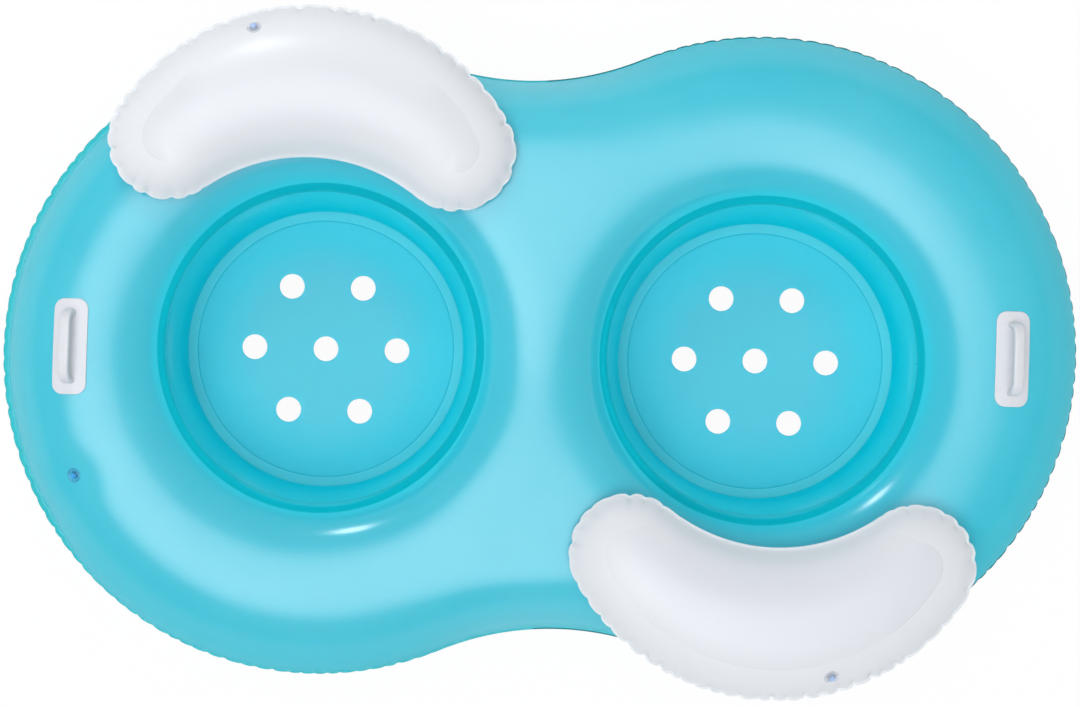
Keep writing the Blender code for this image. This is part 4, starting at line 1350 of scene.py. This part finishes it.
    def _placed(self, flat: np.ndarray, height: np.ndarray) -> np.ndarray:
        """Return points in the raft's frame."""
        return np.concatenate([flat @ self.turn + self.place, height[..., None]], axis=-1)

    def mesh(self, name: str, chamber: Ground) -> bpy.types.Mesh:
        """Return the closed pillow, standing on the chamber's top sheet."""
        flat, share = self._panel()
        placed = self._placed(flat, share)
        below = np.array([[-1.0 if (level := chamber.height(x, y)) is None else level for x, y, _ in column]
                          for column in placed])
        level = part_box(f"pillow_top_{self.half.label}")[0].z - GAP / 2
        shell = bmesh.new()
        layers = float_layers(shell, "ring_way", "seam_way", "contour_way", "crease", "contour_weight")
        rims = [self._side(shell, layers, side, flat, share, below, level) for side in Side]
        order = shell.verts.layers.int["order"]
        loops = []
        for rim in rims:
            rim.sort(key=lambda vertex: vertex[order])
            loops.append([shell.edges.get(pair) for pair in row_pairs(rim)])
        bmesh.ops.bridge_loops(shell, edges=loops[0] + loops[1])
        bmesh.ops.remove_doubles(shell, verts=shell.verts, dist=0.000002)
        bmesh.ops.recalc_face_normals(shell, faces=shell.faces)
        return to_mesh(shell, name)

    def _side(self, shell: BMesh, layers: list, side: Side, flat: np.ndarray, share: np.ndarray,
              below: np.ndarray, level: float) -> list[BMVert]:
        """Lay one panel's outer face with its flange, and return the flange's rim."""
        edge = side.value * (SHEET + GAP / 2)
        swelling = self.crown if side is Side.TOP else self.belly
        points = self._placed(flat, level + edge + side.value * swelling * share)
        rays = self.rays @ self.turn
        puckers = Puckers(self.seed + self.half.value, self.pucker_pitch, self.pucker_spread,
                          self.pucker_least)
        seam = Seam(rays, self.pucker_way, self.pucker_length, self.weight, puckers, self.pinch_depth,
                    self.notch_depth, self.ripple, reach=self.crease_reach, follow=1.0)
        gathered = seam.gather(points[:, ::-1])
        points = gathered.points[:, ::-1]
        if side is Side.BOTTOM:
            rest = np.where(below > 0, below + SHEET * 1.5 + self.seat, -1.0)
            points[..., 2] = np.maximum(points[..., 2], rest)
        rim = []
        for part in (1.0, 0.5):
            reach = part * (self.flange - self.flange_follow * gathered.notch)
            place = points[:, 0, :2] + rays * reach[:, None]
            rim.append(np.concatenate([place, (level + edge + gathered.flutter * part)[:, None]], axis=1))
        rows = [*rim, *points.transpose(1, 0, 2)]
        grid = lay_rows(shell, rows)
        far, crease = gathered.far[:, ::-1], gathered.crease[:, ::-1]
        for index, row in enumerate(grid):
            for column, vertex in enumerate(row):
                inside = far[column, index - 2] if index > 1 else -self.flange * (1 - index / 2)
                values = (1.0, inside, inside - self.contour[column], crease[column, max(index - 2, 0)],
                          self.contour_weight[column])
                for layer, value in zip(layers, values):
                    vertex[layer] = value
        return grid[0]

    def build(self, palette: Palette, chamber: Ground, valve: Valve) -> None:
        """Make the pillow and its valve."""
        label = self.half.label
        mesh = self.mesh(f"pillow_{label}", chamber)
        valve.spot.settle(mesh, self.valve_hold)
        item = to_object(mesh, palette.white[self.half])
        valve.set_on(Ground(mesh), palette.pillow_clear)
        drill(item, valve.spot, self.valve_hole, self.valve_hole_depth)
        dress(item, BODY, "white_vinyl", f"pillow_top_{label}", f"pillow_bottom_{label}")


# Handles


@dataclass
class Handle:
    """A moulded grab handle: a welded plate and the grip that stands on it."""

    half: Half
    reach: float = 0.805765
    shift: float = 0.012
    height: float = 0.293016
    slope: Direction = (-0.229063, 0.018257, 0.97324)
    width: float = 0.059
    length: float = 0.164
    corner: float = 0.018
    plate: float = 0.0025
    plate_grid: tuple[int, int] = (20, 54)
    grip_length: float = 0.127
    grip_width: float = 0.019
    grip_thickness: float = 0.011
    grip_height: float = 0.033
    grip_bend: float = 0.020
    grip_squareness: tuple[float, float] = (0.55, 0.62)
    grip_columns: int = 28
    foot_spread: float = 0.42
    edge_radius: float = 0.0010

    def spot(self) -> Spot:
        """Return the handle's place, its own Y along the raft's side."""
        turn = self.half.value
        normal = Vector((self.slope[0] * turn, self.slope[1] * turn, self.slope[2])).normalized()
        across = Vector((0.0, turn, 0.0)).cross(normal).normalized()
        ahead = normal.cross(across)
        point = Vector((-turn * self.reach, -turn * self.shift, self.height))
        return Spot(Matrix.Translation(point) @ Matrix((across, ahead, normal)).transposed().to_4x4())

    def _plate(self, spot: Spot, chamber: Ground) -> bpy.types.Mesh:
        """Return the plate, lying on the chamber's sheet."""
        shell = bmesh.new()
        columns, rows = self.plate_grid
        bmesh.ops.create_grid(shell, x_segments=columns, y_segments=rows, size=0.5,
                              matrix=Matrix.Diagonal((self.width, self.length, 1.0, 1.0)))
        half_width, half_length = self.width / 2, self.length / 2
        for vertex in shell.verts:
            self._round(vertex, half_width, half_length)
        lift = SHEET / 2 + GAP
        for vertex in shell.verts:
            vertex.co = chamber.below(spot, vertex.co.x, vertex.co.y) + spot.normal * lift
        face_towards(shell, spot.normal)
        return to_mesh(shell, f"handle_{self.half.label}_plate")

    def _round(self, vertex: BMVert, half_width: float, half_length: float) -> None:
        """Move a point of the plate's grid so that the plate's corners are round."""
        corner = Vector((math.copysign(half_width - self.corner, vertex.co.x),
                         math.copysign(half_length - self.corner, vertex.co.y)))
        away = vertex.co.to_2d() - corner
        if away.x * corner.x > 0 and away.y * corner.y > 0:
            square = max(abs(away.x), abs(away.y))
            place = corner + away * (square / away.length)
            vertex.co.x, vertex.co.y = place

    def _stations(self) -> list[tuple[Vector, float, float]]:
        """Return the grip's middle line as places, turns and how far its section is spread."""
        half = (self.grip_length - self.grip_thickness) / 2
        centre = Vector((half - self.grip_bend, self.grip_height - self.grip_bend))
        rise = [(Vector((half, height)), 0.0, 1.0 + self.foot_spread * (1 - share) ** 2)
                for height, share in ((-0.003, 0.0), (0.0015, 0.0), (0.003, 0.22), (0.005, 0.48),
                                      (0.008, 0.78), (0.011, 1.0))]
        bend = [(centre + self.grip_bend * Vector((math.cos(turn), math.sin(turn))), turn, 1.0)
                for turn in np.linspace(0, math.pi / 2, 9)]
        across = [(Vector((along, self.grip_height)), math.pi / 2, 1.0)
                  for along in np.linspace(centre.x, -centre.x, 15)[1:-1]]
        one = rise + bend
        other = [(Vector((-place.x, place.y)), math.pi - turn, spread)
                 for place, turn, spread in reversed(one)]
        return one + across + other

    def _section(self) -> np.ndarray:
        """Return the grip's section: its place across the grip and through it."""
        turns = np.linspace(0, math.tau, self.grip_columns, endpoint=False)
        wide, deep = self.grip_squareness
        across = np.sign(np.cos(turns)) * np.abs(np.cos(turns)) ** wide * self.grip_width / 2
        through = np.sign(np.sin(turns)) * np.abs(np.sin(turns)) ** deep * self.grip_thickness / 2
        return np.stack([across, through], axis=1)

    def _grip(self, spot: Spot) -> bpy.types.Mesh:
        """Return the grip, swept along its middle line."""
        shell = bmesh.new()
        section, rows = self._section(), []
        for place, turn, spread in self._stations():
            out = np.array([math.cos(turn), math.sin(turn)])
            middle = np.array(place) + section[:, 1:] * spread * out
            rows.append(np.stack([section[:, 0] * (1 + (spread - 1) * 0.5), middle[:, 0], middle[:, 1]],
                                 axis=1))
        grid = lay_rows(shell, rows)
        for row in (grid[0], grid[-1]):
            bmesh.ops.contextual_create(shell, geom=[shell.edges.get(pair) for pair in row_pairs(row)])
        bmesh.ops.recalc_face_normals(shell, faces=shell.faces)
        bmesh.ops.transform(shell, matrix=spot.matrix, verts=shell.verts)
        return to_mesh(shell, f"handle_{self.half.label}_grip")

    def build(self, palette: Palette, chamber: Ground) -> None:
        """Make the plate and the grip."""
        spot = self.spot()
        plate = to_object(self._plate(spot, chamber), palette.moulded)
        thicken(plate, self.plate, 1.0)
        rounding = plate.modifiers.new("rounding", "BEVEL")
        rounding.width = self.edge_radius
        rounding.segments = 3
        rounding.limit_method = "ANGLE"
        rounding.angle_limit = math.radians(50)
        dress(bake(plate), BODY, "handle_white", f"handle_{self.half.label}")
        dress(to_object(self._grip(spot), palette.moulded), BODY, "handle_white")


# Valves


@dataclass
class Valve:
    """A push-in valve: its welded base, its stem, its stopper cap and its inner check flap."""

    name: str
    hinge_reach: float = 0.0074
    flap_reach: float = 0.0054
    cap_seat: float = 0.00475
    boss: float = 0.00275
    steps: int = 56
    strap: float = 0.0028
    strap_rounding: float = 0.3
    flange_band: tuple[float, float] = (0.0064, 0.0085)

    def __post_init__(self) -> None:
        """Read the valve's place from its joints."""
        joints = {joint["name"]: joint for joint in frame["joints"]}
        normal = Vector(joints[f"{self.name}_stem_slide"]["axis"]).normalized()
        cap = joints[f"{self.name}_cap_hinge"]
        ahead = Vector(cap["axis"]).normalized()
        across = ahead.cross(normal).normalized()
        point = Vector(cap["pos_m"]) - across * self.hinge_reach - normal * self.cap_seat
        self.spot = Spot(Matrix.Translation(point) @ Matrix((across, ahead, normal)).transposed().to_4x4())

    def _lathe(self, profile: list[tuple[float, float]], closed: bool) -> BMesh:
        """Return a profile turned once around the valve's axis, in the valve's own frame."""
        shell = bmesh.new()
        corners = [shell.verts.new((radius, 0.0, height)) for radius, height in profile]
        spin_profile(shell, corners, closed, self.steps)
        bmesh.ops.remove_doubles(shell, verts=shell.verts, dist=0.000005)
        bmesh.ops.recalc_face_normals(shell, faces=shell.faces)
        return shell

    def _tongue(self, shell: BMesh, start: float, stop: float, low: float, high: float) -> None:
        """Add a small flat strap along the valve's own X."""
        size = Vector((stop - start, self.strap, high - low))
        middle = Vector(((start + stop) / 2, 0.0, (low + high) / 2))
        made = bmesh.ops.create_cube(shell, size=1.0,
                                     matrix=Matrix.Translation(middle) @ Matrix.Diagonal((*size, 1.0)))
        edges = list({edge for vertex in made["verts"] for edge in vertex.link_edges})
        bmesh.ops.bevel(shell, geom=edges, offset=min(size) * self.strap_rounding, segments=2,
                        profile=0.5, affect="EDGES", material=-1)

    def _base(self) -> BMesh:
        """Return the flange that is welded on the sheet, with its raised rings and its neck."""
        profile = [(0.0048, -0.006), (0.0048, 0.0024), (0.0051, self.boss), (0.0058, self.boss),
                   (0.0062, 0.0023), (0.0068, 0.00195), (0.0076, 0.0018), (0.0088, 0.00175),
                   (0.0092, 0.0021), (0.0098, 0.0021), (0.0102, 0.00172), (0.0116, 0.0016),
                   (0.0126, 0.0013), (0.0130, 0.0009), (0.0130, 0.00058), (0.0062, 0.00058), (0.0060, -0.006)]
        return self._lathe(profile, True)

    def _stem(self) -> BMesh:
        """Return the push-in stem with its head, its barrel and its collar."""
        profile = [(0.0029, 0.00445), (0.0029, -0.018), (0.0031, -0.0182), (0.0052, -0.0182),
                   (0.0056, -0.0178), (0.0056, -0.0168), (0.0045, -0.0164), (0.0045, 0.0030),
                   (0.0052, 0.00305), (0.0056, 0.0033), (0.0056, 0.0041), (0.0053, 0.00445),
                   (0.0036, 0.0045), (0.0033, 0.0046)]
        shell = self._lathe(profile, True)
        self._tongue(shell, 0.0050, self.hinge_reach, 0.0031, 0.0044)
        return shell

    def _cap(self) -> BMesh:
        """Return the stopper cap, its plug in the stem and its strap."""
        seat = self.cap_seat
        profile = [(0.0, seat + 0.0013), (0.0020, seat + 0.0012), (0.0034, seat + 0.00095),
                   (0.0037, seat + 0.0012), (0.0042, seat + 0.0012), (0.0045, seat + 0.0009),
                   (0.0045, seat + 0.0002), (0.0043, seat), (0.0027, seat), (0.00265, seat - 0.0020),
                   (0.0021, seat - 0.0026), (0.0, seat - 0.0026)]
        shell = self._lathe(profile, False)
        self._tongue(shell, 0.0036, self.hinge_reach, seat, seat + 0.0008)
        return shell

    def _flap(self) -> BMesh:
        """Return the inner check flap and its tab."""
        level = -0.0183
        profile = [(0.0, level), (0.0044, level), (0.0046, level - 0.0002), (0.0046, level - 0.0006),
                   (0.0043, level - 0.0008), (0.0, level - 0.0008)]
        shell = self._lathe(profile, False)
        self._tongue(shell, 0.0036, self.flap_reach, level - 0.0008, level)
        return shell

    def _follow(self, shell: BMesh, sheet: Ground) -> None:
        """Bend the flange to the sheet that it is welded on."""
        for vertex in shell.verts:
            radius = vertex.co.to_2d().length
            share = float(smooth_step(radius, *self.flange_band))
            if share == 0.0:
                continue
            found = sheet.below(self.spot, vertex.co.x, vertex.co.y)
            if found is not None:
                vertex.co.z += share * (found - self.spot.point).dot(self.spot.normal)

    def set_on(self, sheet: Ground, finishes: dict[ValvePiece, bpy.types.Material]) -> None:
        """Make the valve's pieces on a sheet."""
        for piece, finish in finishes.items():
            shell = getattr(self, f"_{piece.value}")()
            if piece is ValvePiece.BASE:
                self._follow(shell, sheet)
            bmesh.ops.transform(shell, matrix=self.spot.matrix, verts=shell.verts)
            node = f"{self.name}_{piece.value}"
            item = to_object(to_mesh(shell, f"{node}_moulding"), finish)
            body = BODY if piece is ValvePiece.BASE else f"{node}_body"
            dress(item, body, "valve_clear", node)


# The whole raft


@dataclass
class AirChamber:
    """The raft's main air chamber: its two sheets and what is set on the upper one."""

    valve_hold: float = 0.045
    valve_hole: float = 0.0063
    valve_hole_depth: float = 0.010

    def build(self, palette: Palette) -> Ground:
        """Make both sheets and the body's valve, and return the upper sheet's surface."""
        valve = Valve("body_valve")
        top = ChamberSkin(Side.TOP, edge_radius=0.282, edge_height=0.105, limit=0.165).mesh("top_sheet_skin")
        valve.spot.settle(top, self.valve_hold)
        surface = Ground(top)
        bottom = ChamberSkin(Side.BOTTOM, edge_radius=0.244, edge_height=0.0508, limit=0.180,
                             press=REST_DEPTH - SHEET / 2, lip=0.016, lip_rise=0.0).mesh("bottom_sheet_skin")
        item = to_object(top, palette.teal)
        thicken(item, SHEET)
        drill(item, valve.spot, self.valve_hole, self.valve_hole_depth)
        dress(item, BODY, "teal_vinyl", "top_sheet")
        item = to_object(bottom, palette.teal)
        thicken(item, SHEET)
        dress(bake(item), BODY, "teal_vinyl", "bottom_sheet")
        valve.set_on(surface, palette.body_clear)
        return surface


@dataclass(frozen=True)
class Studio:
    """The white ground, the pale sky, the soft lamp and the camera over the raft.

    The sky is brightest around one direction overhead, fades along a slant, and is dimmer past an edge on
    one side, which gives the vinyl's haze its crisp side.
    """

    height: float = 5.4
    pixel: float = 0.00176
    frame_width: float = 1080.0
    sensor: float = 36.0
    roll: float = 1.634
    stand: tuple[float, float] = (-0.067, -0.104)
    aim: tuple[float, float] = (-0.0018, 0.0023)
    ground_size: float = 8.0
    ground_glow: float = 0.96
    key_place: Direction = (-1.0, 1.9, 1.75)
    key_size: float = 0.45
    key_power: float = 8.0
    bright: Direction = (0.02, -0.15, 0.99)
    bright_band: tuple[float, float] = (0.74, 1.0)
    slant: Direction = (-1.4, -0.4, 1.0)
    side: Direction = (0.7, 0.7, 0.0)
    side_band: tuple[float, float] = (0.16, 0.24)
    side_dimming: float = 0.5
    horizon_band: tuple[float, float] = (0.0, 0.25)
    overhead_strength: float = 2.7
    horizon_strength: float = 0.42
    sky_strength: float = 0.475
    sky_colour: Colour = (0.985, 0.992, 1.0)

    def build(self) -> None:
        """Make all of it."""
        self._ground()
        self._world()
        self._lamp()
        self._camera()
        bpy.context.scene.view_settings.view_transform = "Standard"

    def _camera(self) -> None:
        """Make the camera, looking down as in the photograph."""
        lens = bpy.data.cameras.new("photo_view")
        lens.sensor_width = self.sensor
        lens.lens = self.sensor * self.height / (self.pixel * self.frame_width)
        lens.clip_end = 100.0
        camera = bpy.data.objects.new("photo_view", lens)
        bpy.context.scene.collection.objects.link(camera)
        roll = math.radians(self.roll)
        place = Vector((*self.stand, REST_DEPTH + self.height))
        back = (place - Vector((*self.aim, REST_DEPTH))).normalized()
        right = Vector((math.cos(roll), math.sin(roll), 0.0))
        up = back.cross(right).normalized()
        right = up.cross(back)
        camera.matrix_world = Matrix.Translation(place) @ Matrix((right, up, back)).transposed().to_4x4()
        bpy.context.scene.camera = camera

    def _ground(self) -> None:
        """Make the white ground, which looks white to the camera and keeps a soft shadow."""
        shell = bmesh.new()
        bmesh.ops.create_grid(shell, x_segments=1, y_segments=1, size=self.ground_size)
        graph = Graph.material("studio_ground")
        ground = to_object(to_mesh(shell, "ground"), graph.finish(base_color=(0.86, 0.86, 0.86, 1.0),
                                                                 roughness=0.9))
        seen = graph.rays("Is Camera Ray", "Is Glossy Ray", "Is Transmission Ray")
        glow = graph.node("ShaderNodeEmission", {}, {"Color": (1.0, 1.0, 1.0, 1.0), "Strength": 1.0})
        mixed = graph.node("ShaderNodeMixShader", {}, {0: seen * self.ground_glow,
                                                       1: graph.shader.outputs[0],
                                                       2: glow.outputs[0]})
        graph.feed(graph.tree.nodes["Material Output"].inputs["Surface"], mixed.outputs[0])

    def _world(self) -> None:
        """Light everything softly from a pale sky that is brightest overhead."""
        world = bpy.data.worlds.new("studio")
        bpy.context.scene.world = world
        graph = Graph(world)
        way = graph.node("ShaderNodeTexCoord").outputs["Generated"]
        dimmer = graph.along(way, self.side).band(*self.side_band) * self.side_dimming
        overhead = graph.along(way, self.bright).band(*self.bright_band) * (1 - dimmer)
        horizon = 1 - graph.part(way, "Z").band(*self.horizon_band)
        sky = overhead * graph.along(way, self.slant) * self.overhead_strength
        graph.finish(color=(*self.sky_colour, 1.0),
                     strength=sky + horizon * self.horizon_strength + self.sky_strength)

    def _lamp(self) -> None:
        """Make the soft round lamp, which faces the raft."""
        light = bpy.data.lights.new("key", "AREA")
        light.shape = "DISK"
        light.size = self.key_size
        light.energy = self.key_power
        lamp = bpy.data.objects.new("key", light)
        bpy.context.scene.collection.objects.link(lamp)
        lamp.location = self.key_place
        lamp.rotation_euler = (-Vector(self.key_place)).to_track_quat("-Z", "Y").to_euler()


def main() -> None:
    """Build the raft and its studio."""
    logging.basicConfig(level=logging.INFO, format="%(message)s")
    palette = Palette()
    chamber = AirChamber().build(palette)
    for half in Half:
        Well(half).build(palette)
        Pillow(half).build(palette, chamber, Valve(f"pillow_valve_{half.label}"))
        Handle(half).build(palette, chamber)
    Studio().build()


if __name__ == "__main__":
    main()
